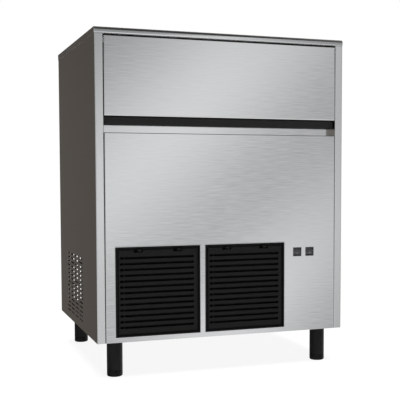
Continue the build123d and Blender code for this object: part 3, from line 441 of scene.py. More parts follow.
FINISHES: dict[Slot, Finish] = {
    Slot.FRONT_STEEL: BrushedSteel("front_steel", FRONT_COLOUR, Axis.X),
    Slot.GALVANISED: Spangled("galvanised_sheet", (0.47, 0.48, 0.48)),
    Slot.BLACK_PLASTIC: Moulded("black_moulding", (0.0058, 0.0058, 0.0061), 0.42, gloss=0.10),
    Slot.SWITCH_GREY: Moulded("switch_moulding", (0.042, 0.042, 0.045), 0.38, gloss=0.2),
    Slot.WHITE_PLASTIC: Moulded("white_moulding", (0.72, 0.74, 0.74), 0.3),
    Slot.FOAM: Moulded("rigid_foam", (0.68, 0.58, 0.36), 0.8, 2.5 * MM, 0.3 * MM),
    Slot.GREY_RUBBER: Moulded("grey_rubber", (0.06, 0.06, 0.062), 0.6),
    Slot.CLEAR_CURTAIN: Moulded("curtain_sheet", (0.80, 0.86, 0.89), 0.14, 4 * MM, 0.1 * MM, 0.75),
    Slot.COPPER: Drawn("drawn_copper", (0.78, 0.42, 0.28), 0.28),
    Slot.ALUMINIUM: Drawn("mill_aluminium", (0.70, 0.71, 0.72), 0.36),
    Slot.BLACK_PAINT: Moulded("black_enamel", (0.014, 0.014, 0.015), 0.25, 6 * MM, 0.1 * MM),
    Slot.FILTER_MESH: Screen("filter_screen", (0.006, 0.006, 0.006)),
    Slot.ZINC: Drawn("zinc_plate", (0.62, 0.62, 0.60), 0.28, 6 * MM),
    Slot.BRASS: Drawn("machined_brass", (0.66, 0.50, 0.26), 0.26, 10 * MM),
    Slot.GREY_PLASTIC: Moulded("grey_moulding", (0.21, 0.22, 0.23), 0.45),
}

# The hand grip takes a lighter, glossier copy of the black moulding; its lighter tone is painted light, for
# the light from below.
NODE_FINISHES = {"hand_grip": Moulded("grip_moulding_lit", (0.0125, 0.0125, 0.0128), 0.4, gloss=0.16)}


def add_object(name: str, data: bpy.types.ID) -> bpy.types.Object:
    """Add an object to the scene.

    Args:
        name: The object's name.
        data: The mesh, camera or light that it holds.

    Returns:
        The new object.
    """
    made = bpy.data.objects.new(name, data)
    bpy.context.scene.collection.objects.link(made)
    return made


def to_mesh(name: str, shape: Shape) -> bpy.types.Mesh:
    """Turn a shape into a mesh.

    Args:
        name: The mesh's name.
        shape: The bmesh, which is freed.

    Returns:
        The new mesh.
    """
    mesh = bpy.data.meshes.new(name)
    shape.to_mesh(mesh)
    shape.free()
    return mesh


def mesh_piece(name: str, shape: Shape, slot: Slot, body: str,
               smooth_below: float | None = None) -> bpy.types.Object:
    """Turn a finished bmesh into a dressed piece that rides on a body.

    Args:
        name: The piece's name.
        shape: The bmesh, which is freed.
        slot: The slot that it takes its finish from.
        body: The CAD body that carries it.
        smooth_below: Edges under this angle, in degrees, are shaded smooth, or none if left out.

    Returns:
        The new object.
    """
    bmesh.ops.remove_doubles(shape, verts=shape.verts, dist=TOUCH)
    bmesh.ops.recalc_face_normals(shape, faces=shape.faces)
    mesh = to_mesh(name, shape)
    if smooth_below is not None:
        mesh.shade_smooth()
        mesh.set_sharp_from_angle(angle=math.radians(smooth_below))
    piece = add_object(name, mesh)
    mesh.materials.append(finish_for(slot))
    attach(piece, body)
    log.info("%s: %d faces on %s", name, len(mesh.polygons), body)
    return piece


def side_finish() -> Finish:
    """Return the side panels' finish: painted shade darkens the sides, and the front posts take the front's
    colour made lighter as painted light.
    """
    post = (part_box("left_side_panel")[0].y + POST_DEPTH, POST_LIT_COLOUR)
    return BrushedSteel("side_steel_shaded", SIDE_SHADED_COLOUR, Axis.Z, 0.2, 0.05, SIDE_EDGE, post)


def finish_for(slot: Slot) -> bpy.types.Material:
    """Return the material of a slot."""
    finish = side_finish() if slot is Slot.SIDE_STEEL else FINISHES[slot]
    return finish.material()


def dress_frame() -> None:
    """Give every CAD node the finish of its slot, but the hand grip a lighter copy of the black moulding, as
    painted light.
    """
    slots = {part["node"]: Slot(part["material_slot"]) for part in frame["record"]["subparts"]}
    for name, node in frame["nodes"].items():
        node.data.materials.clear()
        own = NODE_FINISHES.get(name)
        node.data.materials.append(own.material() if own else finish_for(slots[name]))
    log.info("dressed %d nodes", len(frame["nodes"]))


def lathe(profile: list[Pair], centre: Point, axis: Axis, steps: int) -> Shape:
    """Spin a profile round an axis into a closed shape.

    Args:
        profile: Radius and height pairs from end to end, in metres.
        centre: The point that the heights start from.
        axis: The axis to spin round, Y or Z.
        steps: The number of segments round it.

    Returns:
        The new bmesh.
    """
    shape = bmesh.new()
    points = [shape.verts.new((radius, 0.0, height)) for radius, height in profile]
    edges = [shape.edges.new(pair) for pair in zip(points, points[1:])]
    bmesh.ops.spin(shape, geom=points + edges, cent=(0, 0, 0), axis=(0, 0, 1), angle=math.tau, steps=steps,
                   use_merge=True)
    bmesh.ops.remove_doubles(shape, verts=shape.verts, dist=TOUCH)
    turn = Matrix.Rotation(-math.pi / 2, 4, "X") if axis is Axis.Y else Matrix.Identity(4)
    bmesh.ops.transform(shape, matrix=Matrix.Translation(centre) @ turn, verts=shape.verts)
    return shape


def merge(parts: list[Shape]) -> Shape:
    """Put several shapes together.

    Args:
        parts: The shapes, which are freed.

    Returns:
        One bmesh that holds them all.
    """
    whole = bmesh.new()
    for part in parts:
        mesh = to_mesh("part", part)
        whole.from_mesh(mesh)
        bpy.data.meshes.remove(mesh)
    return whole


def soften(shape: Shape, edges: list[Edge], radius: float, segments: int) -> None:
    """Round some edges of a shape, each with so many faces."""
    bmesh.ops.bevel(shape, geom=edges, offset=radius, offset_type="OFFSET", segments=segments, profile=0.5,
                    affect="EDGES", material=-1)


def block(low: Point | Vector, high: Point | Vector, edge: float = 0.0, segments: int = 3) -> Shape:
    """Make a box.

    Args:
        low: Its lowest corner.
        high: Its highest corner.
        edge: The radius of its edges, or 0 to leave them sharp.
        segments: The number of faces across an edge.

    Returns:
        The new bmesh.
    """
    low, high = Vector(low), Vector(high)
    shape = bmesh.new()
    bmesh.ops.create_cube(shape, size=1.0)
    bmesh.ops.scale(shape, vec=high - low, verts=shape.verts)
    bmesh.ops.translate(shape, vec=(low + high) / 2, verts=shape.verts)
    if edge:
        soften(shape, shape.edges[:], edge, segments)
    return shape


def near(first: float, second: float) -> bool:
    """Tell whether two measures are the same."""
    return abs(first - second) < TOUCH


def drawn(made: dict[str, list], kind: type) -> list:
    """Return the points, or the edges, that an extrude drew."""
    return [item for item in made["geom"] if isinstance(item, kind)]


def rounded_outline(low: Pair, high: Pair, radius: float, steps: int = 5) -> list[Pair]:
    """Draw a rectangle with round corners.

    Args:
        low: Its lowest corner on the plane.
        high: Its highest corner.
        radius: The radius of its corners.
        steps: The number of segments in a corner.

    Returns:
        Its points in order.
    """
    points = []
    left, right, foot, top = low[0] + radius, high[0] - radius, low[1] + radius, high[1] - radius
    for quarter, (across, up) in enumerate(((right, top), (left, top), (left, foot), (right, foot))):
        for step in range(steps + 1):
            turn = math.pi / 2 * (quarter + step / steps)
            points.append((across + radius * math.cos(turn), up + radius * math.sin(turn)))
    return points


def ring(section: list[Pair], low: Pair, high: Pair, radius: float, axis: Axis, steps: int = 5) -> Shape:
    """Run a closed section round a rectangle with round corners.

    Args:
        section: The section's points, each as its distance out of the rectangle and its place on the axis.
        low: The rectangle's lowest corner.
        high: Its highest corner.
        radius: The radius of its corners.
        axis: The axis across the rectangle, Y or Z.
        steps: The number of segments in a corner.

    Returns:
        The new bmesh.
    """
    loops = []
    for out, level in section:
        corners = (low[0] - out, low[1] - out), (high[0] + out, high[1] + out)
        outline = rounded_outline(*corners, radius + out, steps)
        loops.append([(x, level, up) if axis is Axis.Y else (x, up, level) for x, up in outline])
    shape = bmesh.new()
    points = [shape.verts.new(point) for point in loops[0]]
    edges = [shape.edges.new(pair) for pair in zip(points, points[1:] + points[:1])]
    for target in loops[1:] + loops[:1]:
        places = {tuple(point.co): index for index, point in enumerate(points)}
        made = bmesh.ops.extrude_edge_only(shape, edges=edges)
        edges = drawn(made, Edge)
        points = sorted(drawn(made, Vert), key=lambda point: places[tuple(point.co)])
        for point, place in zip(points, target):
            point.co = place
    return shape


def loose_boxes(name: str) -> list[tuple[Vector, Vector]]:
    """Find the box of each separate solid in a CAD node.

    Args:
        name: The node's name.

    Returns:
        The lowest and highest corner of each, in order of place.
    """
    shape = bmesh.new()
    shape.from_mesh(frame["nodes"][name].data)
    bmesh.ops.remove_doubles(shape, verts=shape.verts, dist=TOUCH)
    left, boxes = set(shape.verts), []
    while left:
        found, queue = [], [left.pop()]
        while queue:
            point = queue.pop()
            found.append(point.co.copy())
            for edge in point.link_edges:
                other = edge.other_vert(point)
                if other in left:
                    left.remove(other)
                    queue.append(other)
        boxes.append((Vector(map(min, zip(*found))), Vector(map(max, zip(*found)))))
    shape.free()
    return sorted(boxes, key=lambda box: tuple(round(value, 4) for value in box[0]))


@dataclass
class SheetTrim:
    """The thin trim of the sheet: hems, the rims of the cut-outs and a dark strip under the cover that is
    painted shade for its gap.

    Args:
        hem: The radius of a hem.
        proud: How far the trim stands out of the sheet.
        rim: The width of a cut-out's rim.
        gap: The gap between a rim and its grille.
        rim_corner: The radius of a rim's corners.
        shade_strip_corner: The radius of the dark strip's corners.
    """

    hem: float = 1.0 * MM
    proud: float = 0.3 * MM
    rim: float = 2.2 * MM
    gap: float = 0.4 * MM
    rim_corner: float = 1.5 * MM
    shade_strip_corner: float = 3.0 * MM

    def build(self) -> None:
        """Make every strip of trim."""
        self.hems("door_hems", "door_skin", "door", 5 * MM)
        self.hems("panel_hems", "front_panel", "cabinet", 1 * MM)
        self.rims()
        self.cover_shade_strip()

    def hems(self, name: str, node: str, body: str, clear: float) -> None:
        """Roll a hem up each side of a front sheet.

        Args:
            name: The piece's name.
            node: The CAD node of the sheet.
            body: The body that carries it.
            clear: How far the hem stops short of the sheet's ends.
        """
        low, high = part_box(node)
        length, soft = high.z - low.z - 2 * clear, 0.6 * self.hem
        end = [(0, 0), (self.hem - soft, 0), (self.hem - 0.3 * soft, 0.3 * soft), (self.hem, soft)]
        profile = end + [(radius, length - rise) for radius, rise in reversed(end)]
        rods = [lathe(profile, (x, low.y + self.hem - self.proud, low.z + clear), Axis.Z, 16)
                for x in (low.x + self.hem, high.x - self.hem)]
        mesh_piece(name, merge(rods), Slot.FRONT_STEEL, body, 50)

    def rims(self) -> None:
        """Turn a rolled rim round each grille's cut-out."""
        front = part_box("front_panel")[0].y
        profile = ((0.0, 0.3), (0.05, -0.4), (0.3, -0.9), (0.65, -1.0), (0.9, -0.6), (1.0, 0.3))
        section = [(self.gap + self.rim * out, front + self.proud * up) for out, up in profile]
        for hand in ("left", "right"):
            low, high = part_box(f"{hand}_grille")
            shape = ring(section, (low.x, low.z), (high.x, high.z), self.rim_corner, Axis.Y)
            mesh_piece(f"{hand}_cutout_rim", shape, Slot.FRONT_STEEL, "cabinet", 60)

    def cover_shade_strip(self) -> None:
        """Lay a thin dark strip under the cover, round the cabinet, as painted shade in the gap between
        cover and cabinet.
        """
        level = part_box("top_cover")[0].z - COVER_LIP
        low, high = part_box("left_side_panel")
        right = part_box("right_side_panel")[1].x
        # The grey rubber strip is painted shade: a dark line where the cover meets the cabinet.
        profile = ((-1.0, -0.5), (0.2, -0.9), (0.45, -0.5), (0.45, 0.1), (-1.0, 0.1))
        section = [(out * MM, level + up * MM) for out, up in profile]
        shape = ring(section, (low.x, low.y), (right, high.y), self.shade_strip_corner, Axis.Z)
        mesh_piece("cover_shade_strip", shape, Slot.GREY_RUBBER, "cabinet", 40)


@dataclass
class Cover:
    """The top cover: a shallow sheet lid with a soft front edge that rolls under over the door.

    Args:
        crown: The radius of the upper front edge.
        roll: The radius of the lower front edge.
        corner: The radius of the upright corners.
        sheet: The thickness of the sheet.
    """

    crown: float = 9.5 * MM
    roll: float = 5.0 * MM
    corner: float = 1.6 * MM
    sheet: float = 0.9 * MM

    def build(self) -> None:
        """Replace the plain cover by one that hangs a little lower."""
        low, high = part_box("top_cover")
        low.z -= COVER_LIP
        shape = block(low, high)
        soften(shape, self.edges_at(shape, low.y, high.z), self.crown, 12)
        soften(shape, self.edges_at(shape, low.y, low.z), self.roll, 5)
        soften(shape, [edge for edge in shape.edges if self.on_end(edge, low, high)], self.corner, 3)
        under = max((face for face in shape.faces if face.normal.z < 0), key=lambda face: face.calc_area())
        bmesh.ops.delete(shape, geom=[under], context="FACES")
        bmesh.ops.recalc_face_normals(shape, faces=shape.faces)
        bmesh.ops.solidify(shape, geom=shape.faces[:], thickness=self.sheet)
        made = mesh_piece("cover_sheet", shape, Slot.SIDE_STEEL, "cabinet", 30)
        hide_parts("top_cover")

    def edges_at(self, shape: Shape, depth: float, level: float) -> list[Edge]:
        """Return the long edges at a depth and a level."""
        return [edge for edge in shape.edges
                if all(near(point.co.y, depth) and near(point.co.z, level) for point in edge.verts)]

    def on_end(self, edge: Edge, low: Vector, high: Vector) -> bool:
        """Tell whether an edge is on an end's outline, apart from its straight lower side.

        Args:
            edge: The edge.
            low: The cover's lowest corner.
            high: Its highest corner.

        Returns:
            True for an edge that gets rounded.
        """
        first, second = (point.co for point in edge.verts)
        outline = near(first.x, second.x) and (near(first.x, low.x) or near(first.x, high.x))
        return outline and not (near(first.z, low.z) and near(second.z, low.z))


@dataclass
class Switches:
    """The light dot on each rocker.

    Args:
        radius: The dot's radius.
        height: How far the dot stands out.
        sunk: How far it reaches into the rocker.
        rise: Its height on the rocker, as a share.
    """

    radius: float = 1.1 * MM
    height: float = 0.35 * MM
    sunk: float = 0.2 * MM
    rise: float = 0.34

    def build(self) -> None:
        """Set a dot on each rocker's face."""
        for number, body in ((1, "rocker_left"), (2, "rocker_right")):
            low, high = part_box(f"rocker_{number}")
            node = frame["nodes"][f"rocker_{number}"]
            start = Vector(((low.x + high.x) / 2, low.y - 5 * MM, low.z + self.rise * (high.z - low.z)))
            hit, place, normal, _ = node.ray_cast(start, Vector((0, 1, 0)))
            if not hit:
                log.warning("rocker_%d: no face found for its dot", number)
                continue
            profile = [(0, -self.sunk), (self.radius, -self.sunk), (self.radius, 0.4 * self.height),
                       (0.6 * self.radius, 0.85 * self.height), (0, self.height)]
            shape = lathe(profile, (0, 0, 0), Axis.Z, 24)
            turn = Vector((0, 0, 1)).rotation_difference(normal).to_matrix().to_4x4()
            bmesh.ops.transform(shape, matrix=Matrix.Translation(place) @ turn, verts=shape.verts)
            mesh_piece(f"switch_{number}_dot", shape, Slot.GREY_PLASTIC, body, 40)


@dataclass
class Latches:
    """The sprung tongue in each notch of the grilles.

    Args:
        spread: The notches' distance from their common middle.
        shift: How far that is to the right of the grille's middle.
        drop: The tongue's upper edge below the grille's.
        size: The tongue's width and height.
        sunk: The depth of the tongue's face behind the grille's front.
        thick: The tongue's thickness.
        edge: The radius of its edges.
    """

    spread: float = 64 * MM
    shift: float = 5 * MM
    drop: float = 6.5 * MM
    size: Pair = (15 * MM, 9 * MM)
    sunk: float = 3.5 * MM
    thick: float = 6 * MM
    edge: float = 1.2 * MM

    def build(self) -> None:
        """Put two tongues in each grille."""
        width, height = self.size
        for hand in ("left", "right"):
            low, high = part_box(f"{hand}_grille")
            middle, top = (low.x + high.x) / 2 + self.shift, high.z - self.drop
            face, back = low.y + self.sunk, low.y + self.sunk + self.thick
            tongues = [block((x - width / 2, face, top - height), (x + width / 2, back, top), self.edge)
                       for x in (middle - self.spread, middle + self.spread)]
            mesh_piece(f"{hand}_grille_latches", merge(tongues), Slot.BLACK_PLASTIC, f"grille_{hand}", 40)


@dataclass
class RearScrews:
    """The pan-head screws of the rear panel, each with a cross recess.

    Args:
        steps: The number of segments round a head.
        recess: The radius of the cross, as a share of the head's.
        middle: The radius within which its arms meet, as a share of the head's.
        depth: The depth of the cross.
    """

    steps: int = 32
    recess: float = 0.55
    middle: float = 0.14
    depth: float = 1.0 * MM

    def build(self) -> None:
        """Replace the plain screws."""
        heads = []
        for low, high in loose_boxes("rear_screws"):
            middle, radius, top = (low + high) / 2, (high.x - low.x) / 2, high.y - low.y
            seat = top - 0.5 * radius
            profile = [(0, 0), (0.5 * radius, 0), (0.5 * radius, seat), (radius, seat),
                       (radius, seat + 0.2 * radius), (0.86 * radius, seat + 0.4 * radius),
                       (self.recess * radius, top), (self.middle * radius, top), (0, top)]
            shape = lathe(profile, (middle.x, low.y, middle.z), Axis.Y, self.steps)
            self.cross(shape, Vector((middle.x, high.y, middle.z)), self.middle * radius)
            heads.append(shape)
        made = mesh_piece("rear_screws_crossed", merge(heads), Slot.ZINC, "cabinet", 35)
        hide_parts("rear_screws")

    def cross(self, shape: Shape, middle: Vector, inner: float) -> None:
        """Sink a cross into the top of a head.

        Args:
            shape: The head.
            middle: The middle of its top.
            inner: The radius within which the arms meet.
        """
        arms = []
        for face in shape.faces:
            apart = face.calc_center_median() - middle
            if abs(face.normal.y) < 0.9 or abs(apart.y) > 0.05 * MM:
                continue
            turn = math.degrees(math.atan2(apart.z, apart.x)) % 90
            if apart.length < inner or min(turn, 90 - turn) < 15:
                arms.append(face)
        sunk = drawn(bmesh.ops.extrude_face_region(shape, geom=arms), Vert)
        bmesh.ops.translate(shape, vec=(0, -self.depth, 0), verts=sunk)
        bmesh.ops.delete(shape, geom=arms, context="FACES")


@dataclass(frozen=True)
class Ridges:
    """A row of ridges round a spigot at the rear.

    Args:
        name: The piece's name.
        node: The spigot's CAD node.
        radius: The spigot's radius.
        pitch: The distance between ridges.
        height: The ridges' height.
        lean: The crest's place within a ridge, as a share of the pitch.
        slot: The slot of the finish.
        root: How far the band reaches into the spigot.
        skin: How far it lies outside the spigot between the ridges.
    """

    name: str
    node: str
    radius: float
    pitch: float
    height: float
    lean: float
    slot: Slot
    root: float = 0.4 * MM
    skin: float = 0.02 * MM

    def build(self, start: float) -> None:
        """Put the ridges on, up to the spigot's end.

        Args:
            start: The depth at which the spigot starts.
        """
        low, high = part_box(self.node)
        inside, outside, crest = self.radius - self.root, self.radius + self.skin, self.radius + self.height
        count = int((high.y - start - 1 * MM) / self.pitch)
        feet = [0.5 * MM + row * self.pitch for row in range(count + 1)]
        profile = [(inside, 0.0)]
        for foot in feet[:-1]:
            profile += [(outside, foot), (crest, foot + self.lean * self.pitch)]
        profile += [(outside, feet[-1]), (inside, feet[-1] + 0.2 * MM)]
        middle = ((low.x + high.x) / 2, start, (low.z + high.z) / 2)
        mesh_piece(self.name, lathe(profile + profile[:1], middle, Axis.Y, 48), self.slot, "cabinet", 25)


@dataclass
class RearFittings:
    """The thread of the water inlet, the barbs of the drain spigot and the nut of the cord gland.

    Args:
        ridges: The thread and the barbs.
        collar: The depth of the collar under each spigot.
        nut: The radius over the nut's corners.
        nut_depth: The nut's depth.
        nut_edge: The radius of its edges.
    """

    ridges: tuple[Ridges, ...] = (
        Ridges("inlet_thread", "water_inlet", 13 * MM, 1.8 * MM, 0.7 * MM, 0.5, Slot.BRASS),
        Ridges("drain_barbs", "drain_outlet", 12 * MM, 4.2 * MM, 0.8 * MM, 0.15, Slot.GREY_PLASTIC),
    )
    collar: float = 3.2 * MM
    nut: float = 13.2 * MM
    nut_depth: float = 6 * MM
    nut_edge: float = 0.6 * MM

    def build(self) -> None:
        """Make the thread, the barbs and the six-sided nut."""
        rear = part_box("rear_panel")[1].y + self.collar
        for ridges in self.ridges:
            ridges.build(rear)
        low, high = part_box("cable_gland")
        shape = bmesh.new()
        bmesh.ops.create_circle(shape, cap_ends=True, segments=6, radius=self.nut)
        raised = drawn(bmesh.ops.extrude_face_region(shape, geom=shape.faces[:]), Vert)
        bmesh.ops.translate(shape, vec=(0, 0, self.nut_depth), verts=raised)
        soften(shape, shape.edges[:], self.nut_edge, 2)
        centre = ((low.x + high.x) / 2, rear, (low.z + high.z) / 2)
        turn = Matrix.Translation(centre) @ Matrix.Rotation(-math.pi / 2, 4, "X")
        bmesh.ops.transform(shape, matrix=turn, verts=shape.verts)
        mesh_piece("gland_nut", shape, Slot.BLACK_PLASTIC, "cabinet", 30)


@dataclass
class DoorGasket:
    """The door's gasket, a soft strip with two ribs.

    Args:
        width: The strip's width.
        corner: The radius of its outer corners.
    """

    width: float = 10 * MM
    corner: float = 13 * MM

    def build(self) -> None:
        """Replace the plain gasket."""
        low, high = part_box("door_gasket")
        rib = ((0, 0), (0, 0.45), (0.12, 0.82), (0.3, 1.0), (0.42, 0.92))
        profile = (*rib, (0.5, 0.72), *((1 - across, deep) for across, deep in reversed(rib)))
        section = [(-self.width * across, low.y + (high.y - low.y) * deep) for across, deep in profile]
        shape = ring(section, (low.x, low.z), (high.x, high.z), self.corner, Axis.Y, 6)
        made = mesh_piece("door_gasket_ribbed", shape, Slot.GREY_RUBBER, "door", 50)
        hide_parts("door_gasket")


@dataclass
class CondenserFins:
    """The folded fins between the condenser's flat tubes.

    Args:
        tubes: The number of tubes between the two end plates.
        thick: A tube's thickness.
        header: The width of the header at each end.
        inset: How far the fins stay behind the condenser's faces.
        pitch: The distance between two folds.
        foil: The fins' thickness.
    """

    tubes: int = 13
    thick: float = 2 * MM
    header: float = 22.5 * MM
    inset: float = 2.5 * MM
    pitch: float = 4.4 * MM
    foil: float = 0.2 * MM

    def build(self) -> None:
        """Fold one strip into every gap between tubes."""
        low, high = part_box("condenser")
        step = (high.z - low.z - self.thick) / (self.tubes + 1)
        start, end = low.x + self.header, high.x - self.header
        folds = int((end - start) / self.pitch)
        run = (end - start) / (2 * folds)
        shape = bmesh.new()
        for row in range(self.tubes + 1):
            floor, roof = low.z + row * step + self.thick, low.z + (row + 1) * step
            points = [shape.verts.new((start + run * fold, low.y + self.inset, roof if fold % 2 else floor))
                      for fold in range(2 * folds + 1)]
            edges = [shape.edges.new(pair) for pair in zip(points, points[1:])]
            moved = drawn(bmesh.ops.extrude_edge_only(shape, edges=edges), Vert)
            bmesh.ops.translate(shape, vec=(0, high.y - low.y - 2 * self.inset, 0), verts=moved)
        bmesh.ops.recalc_face_normals(shape, faces=shape.faces)
        bmesh.ops.solidify(shape, geom=shape.faces[:], thickness=self.foil)
        mesh_piece("condenser_fins", shape, Slot.ALUMINIUM, "cabinet")


@dataclass
class CompressorDetails:
    """The compressor's weld bead and its terminal cover.

    Args:
        radius: The shell's radius.
        crown: The seam's distance below the shell's top.
        bead: The bead's half height.
        root: How far the bead reaches into the shell.
        cover: The terminal cover's width, depth and height.
        cover_root: How far the cover reaches into the shell.
        cover_edge: The radius of its edges.
    """

    radius: float = 78 * MM
    crown: float = 78 * MM
    bead: float = 3.2 * MM
    root: float = 1 * MM
    cover: Point = (44 * MM, 15 * MM, 56 * MM)
    cover_root: float = 4 * MM
    cover_edge: float = 4 * MM

    def build(self) -> None:
        """Add both pieces to the shell."""
        low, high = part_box("compressor")
        middle = (low + high) / 2
        inside, shoulder = self.radius - self.root, self.radius + 0.6 * self.bead
        profile = [(inside, -self.bead), (shoulder, -0.6 * self.bead), (self.radius + 0.8 * self.bead, 0),
                   (shoulder, 0.6 * self.bead), (inside, self.bead)]
        seam = lathe(profile + profile[:1], (middle.x, middle.y, high.z - self.crown), Axis.Z, 72)
        mesh_piece("compressor_weld", seam, Slot.BLACK_PAINT, "cabinet", 50)
        width, depth, height = self.cover
        face = middle.y - self.radius - depth + self.cover_root
        shape = block((middle.x - width / 2, face, middle.z - height / 2),
                      (middle.x + width / 2, face + depth, middle.z + height / 2), self.cover_edge, 4)
        mesh_piece("compressor_terminals", shape, Slot.BLACK_PLASTIC, "cabinet", 40)


@dataclass
class Feet:
    """The four round feet: a sleeve under the pan and a base that screws out of it.

    Args:
        steps: The number of segments round a foot.
        edge: The radius of the base's lower edge.
        seam: The depth of the groove between base and sleeve.
        gap: The gap between base and sleeve.
        soft: The radius of the sleeve's lower edge.
        flange: The thickness of the flange on a sleeve.
        lap: How far the flange reaches past the sleeve.
        corner: The radius of the flange's corners.
    """

    steps: int = 72
    edge: float = 5 * MM
    seam: float = 0.7 * MM
    gap: float = 0.3 * MM
    soft: float = 1.2 * MM
    flange: float = 4 * MM
    lap: float = 7 * MM
    corner: float = 8 * MM

    def build(self) -> None:
        """Replace the sleeves and bases with round meshes."""
        low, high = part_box("foot_sleeves")
        sleeves = []
        for place in ("front_left", "front_right", "rear_left", "rear_right"):
            base_low, base_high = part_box(f"foot_base_{place}")
            centre, radius = (base_low + base_high) / 2, (base_high.x - base_low.x) / 2
            self.base(place, centre, radius, low.z - self.gap)
            sleeves += self.sleeve(centre, radius, low.z, high.z)
        made = mesh_piece("foot_sleeves_round", merge(sleeves), Slot.BLACK_PLASTIC, "cabinet", 40)
        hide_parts("foot_sleeves")

    def sleeve(self, centre: Vector, radius: float, low: float, high: float) -> list[Shape]:
        """Make one sleeve.

        Args:
            centre: The foot's middle.
            radius: The sleeve's radius.
            low: The height of its lower end.
            high: The height of the flange's upper face.

        Returns:
            The sleeve and its square flange.
        """
        under = high - self.flange
        bevel = 0.35 * self.soft
        profile = [(0, low), (radius - self.soft, low), (radius - bevel, low + bevel),
                   (radius, low + self.soft), (radius, under), (0, under)]
        half = radius + self.lap
        flange = block((centre.x - half, centre.y - half, under), (centre.x + half, centre.y + half, high))
        upright = [edge for edge in flange.edges if not near(edge.verts[0].co.z, edge.verts[1].co.z)]
        soften(flange, upright, self.corner, 5)
        return [lathe(profile, (centre.x, centre.y, 0.0), Axis.Z, self.steps), flange]

    def base(self, place: str, centre: Vector, radius: float, top: float) -> None:
        """Replace one foot base with a round one whose lower edge is rounded.

        Args:
            place: The foot's place, as in its node's name.
            centre: The foot's middle.
            radius: The base's radius.
            top: The height of its upper end.
        """
        arc = [(radius - self.edge + self.edge * math.sin(turn), self.edge - self.edge * math.cos(turn))
               for turn in (math.pi / 2 * step / 6 for step in range(7))]
        profile = [(0, 0), *arc, (radius, top - self.seam), (radius - self.seam, top), (0, top)]
        shape = lathe(profile, (centre.x, centre.y, 0.0), Axis.Z, self.steps)
        made = mesh_piece(f"foot_{place}_round", shape, Slot.BLACK_PLASTIC, f"foot_{place}", 40)
        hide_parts(f"foot_base_{place}")


@dataclass(frozen=True)
class Glow:
    """A soft box, or a dark card, as a smooth patch of the world.

    Args:
        turn: Its direction from the front towards the right, in degrees.
        rise: Its height over the horizon, in degrees.
        strength: The light that it adds, below 0 for a dark card.
        length: Its half length, in degrees.
        width: Its half width, in degrees.
        roll: The slope of its length, in degrees.
    """

    turn: float
    rise: float
    strength: float
    length: float
    width: float
    roll: float = 0.0

    def axes(self) -> tuple[Vector, Vector, Vector]:
        """Work out its axes.

        Returns:
            Its direction, and its length and width as vectors that a dot product scales to 1.
        """
        turn, rise, roll = (math.radians(angle) for angle in (self.turn, self.rise, self.roll))
        ahead = Vector((math.sin(turn) * math.cos(rise), -math.cos(turn) * math.cos(rise), math.sin(rise)))
        across = Vector((math.cos(turn), math.sin(turn), 0.0))
        upward = across.cross(ahead) * -1.0
        along = across * math.cos(roll) + upward * math.sin(roll)
        aside = upward * math.cos(roll) - across * math.sin(roll)
        length, width = (math.sin(math.radians(angle)) for angle in (self.length, self.width))
        return ahead, along / length, aside / width


# In front two slanting strips, a low box and two dark cards, then the boxes to the left, right and rear.
SOFT_BOXES = (
    Glow(15.6, 2.6, 0.91, 19.8, 4.7, 44.7),
    Glow(19.0, -10.3, 0.86, 17.9, 3.2, 45.2),
    Glow(15.0, -46.0, 1.1, 80.0, 21.0),
    Glow(15.0, 36.0, -0.35, 70.0, 16.0),
    Glow(15.0, 70.0, -0.4, 80.0, 28.0),
    Glow(-24.0, 2.0, 0.5, 34.0, 8.0, 90.0),
    Glow(-50.0, 14.0, 0.65, 24.0, 13.0, 90.0),
    Glow(108.0, 8.0, 0.9, 40.0, 15.0, 90.0),
    Glow(134.0, -8.0, 0.7, 24.0, 26.0),
    Glow(-135.0, 30.0, 0.4, 30.0, 20.0),
    Glow(-171.0, 13.0, -0.10, 24.0, 9.0),
)


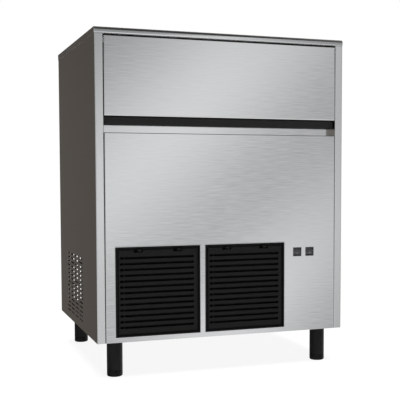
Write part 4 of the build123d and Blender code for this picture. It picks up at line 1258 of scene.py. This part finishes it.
@dataclass
class Studio:
    """The floor, the world, the lamp and the camera.

    Args:
        eye: The camera's place.
        heading: The camera's turn to the right of the depth axis, in radians.
        tilt: The camera's tip below the horizon, in radians.
        lens: The focal length on a 36 mm sensor, in millimetres.
        shift: The lens shift across and up, as a share of the frame.
        front_sky: The world's plain brightness in front of the machine.
        rear_sky: The world's plain brightness behind it.
        lamp: The overhead lamp's place, from which it faces the foot of the machine.
        lamp_size: The length of its side.
        lamp_power: Its power, in watts.
        floor_reach: The floor's radius.
        fade: The distances between which the floor fades to pure white.
    """

    eye: Point = (-0.9315, -3.0552, 0.6501)
    heading: float = 0.362
    tilt: float = 0.062
    lens: float = 79.12
    shift: Pair = (-0.125, 0.0645)
    front_sky: float = 0.42
    rear_sky: float = 0.22
    lamp: Point = (0.0, -0.4, 3.4)
    lamp_size: float = 3.0
    lamp_power: float = 400.0
    floor_reach: float = 14.0
    fade: Pair = (0.5, 1.6)

    def build(self) -> None:
        """Make the whole studio."""
        bpy.context.scene.view_settings.view_transform = "Standard"
        self.place_camera()
        self.lay_floor()
        self.light_world()
        self.hang_lamp()
        log.info("studio ready")

    def place_camera(self) -> None:
        """Place the camera at the photograph's angle."""
        data = bpy.data.cameras.new("camera")
        data.lens = self.lens
        data.sensor_width = 36.0
        data.shift_x, data.shift_y = self.shift
        camera = add_object("camera", data)
        camera.location = self.eye
        camera.rotation_euler = (math.pi / 2 - self.tilt, 0.0, -self.heading)
        bpy.context.scene.camera = camera

    def lay_floor(self) -> None:
        """Lay a wide white floor that fades to pure white away from the machine."""
        shape = bmesh.new()
        bmesh.ops.create_circle(shape, cap_ends=True, segments=64, radius=self.floor_reach)
        floor = add_object("floor", to_mesh("floor", shape))
        floor.location.z = -0.2 * MM
        floor.visible_glossy = False
        material = new_material("floor_white")
        floor.data.materials.append(material)
        graph = Graph(material.node_tree)
        graph.set(Base_Color=(0.9, 0.9, 0.9), Roughness=0.9)
        away = graph.span(graph.reckon("LENGTH", graph.place(), kind="VectorMath"), self.fade, (0.9, 1.0))
        white = graph.node("Emission").outputs["Emission"]
        graph.show(graph.shader.outputs["BSDF"], white, away, "Material Output")

    def light_world(self) -> None:
        """Light the machine by soft boxes all round, in a world that the camera sees as white."""
        world = bpy.data.worlds.new("studio")
        bpy.context.scene.world = world
        world.use_nodes = True
        graph = Graph(world.node_tree)
        way = graph.node("TexCoord").outputs["Generated"]
        total = graph.span(graph.split(way)["Y"], (-0.2, 0.9), (self.front_sky, self.rear_sky), "SMOOTHSTEP")
        for box in SOFT_BOXES:
            total = graph.reckon("ADD", total, self.patch(graph, way, box))
        skies = [graph.node("Background", {"Color": (1.0, 1.0, 1.0), "Strength": strength})
                 for strength in (graph.reckon("MAXIMUM", total, 0.02), 1.0)]
        graph.show(*(sky.outputs["Background"] for sky in skies), 1.0, "World Output")

    def patch(self, graph: Graph, way: Socket, box: Glow) -> Socket:
        """Light one soft box, which falls off smoothly from its middle.

        Args:
            graph: The world's tree.
            way: The direction that is looked in.
            box: The soft box.

        Returns:
            Its light in that direction.
        """
        ahead, along, aside = (graph.reckon("DOT_PRODUCT", way, axis, "VectorMath") for axis in box.axes())
        apart = graph.reckon("ADD", *(graph.reckon("MULTIPLY", reach, reach) for reach in (along, aside)))
        fall = graph.reckon("EXPONENT", graph.reckon("MULTIPLY", apart, -1.0))
        lit = graph.reckon("MULTIPLY", fall, graph.reckon("GREATER_THAN", ahead, 0.0))
        return graph.reckon("MULTIPLY", lit, box.strength)

    def hang_lamp(self) -> None:
        """Hang a square soft lamp that bare metal doesn't mirror."""
        data = bpy.data.lights.new("lamp_overhead", "AREA")
        data.size = self.lamp_size
        data.energy = self.lamp_power
        lamp = add_object("lamp_overhead", data)
        lamp.location = self.lamp
        lamp.visible_glossy = False
        lamp.rotation_euler = (-Vector(self.lamp)).to_track_quat("-Z", "Y").to_euler()


def main() -> None:
    """Build every sub-assembly in order."""
    logging.basicConfig(level=logging.INFO, format="%(message)s")
    Studio().build()
    dress_frame()
    for assembly in (Feet(), SheetTrim(), Cover(), Switches(), Latches(), RearScrews(), RearFittings(),
                     DoorGasket(), CondenserFins(), CompressorDetails()):
        assembly.build()


if __name__ == "__main__":
    main()
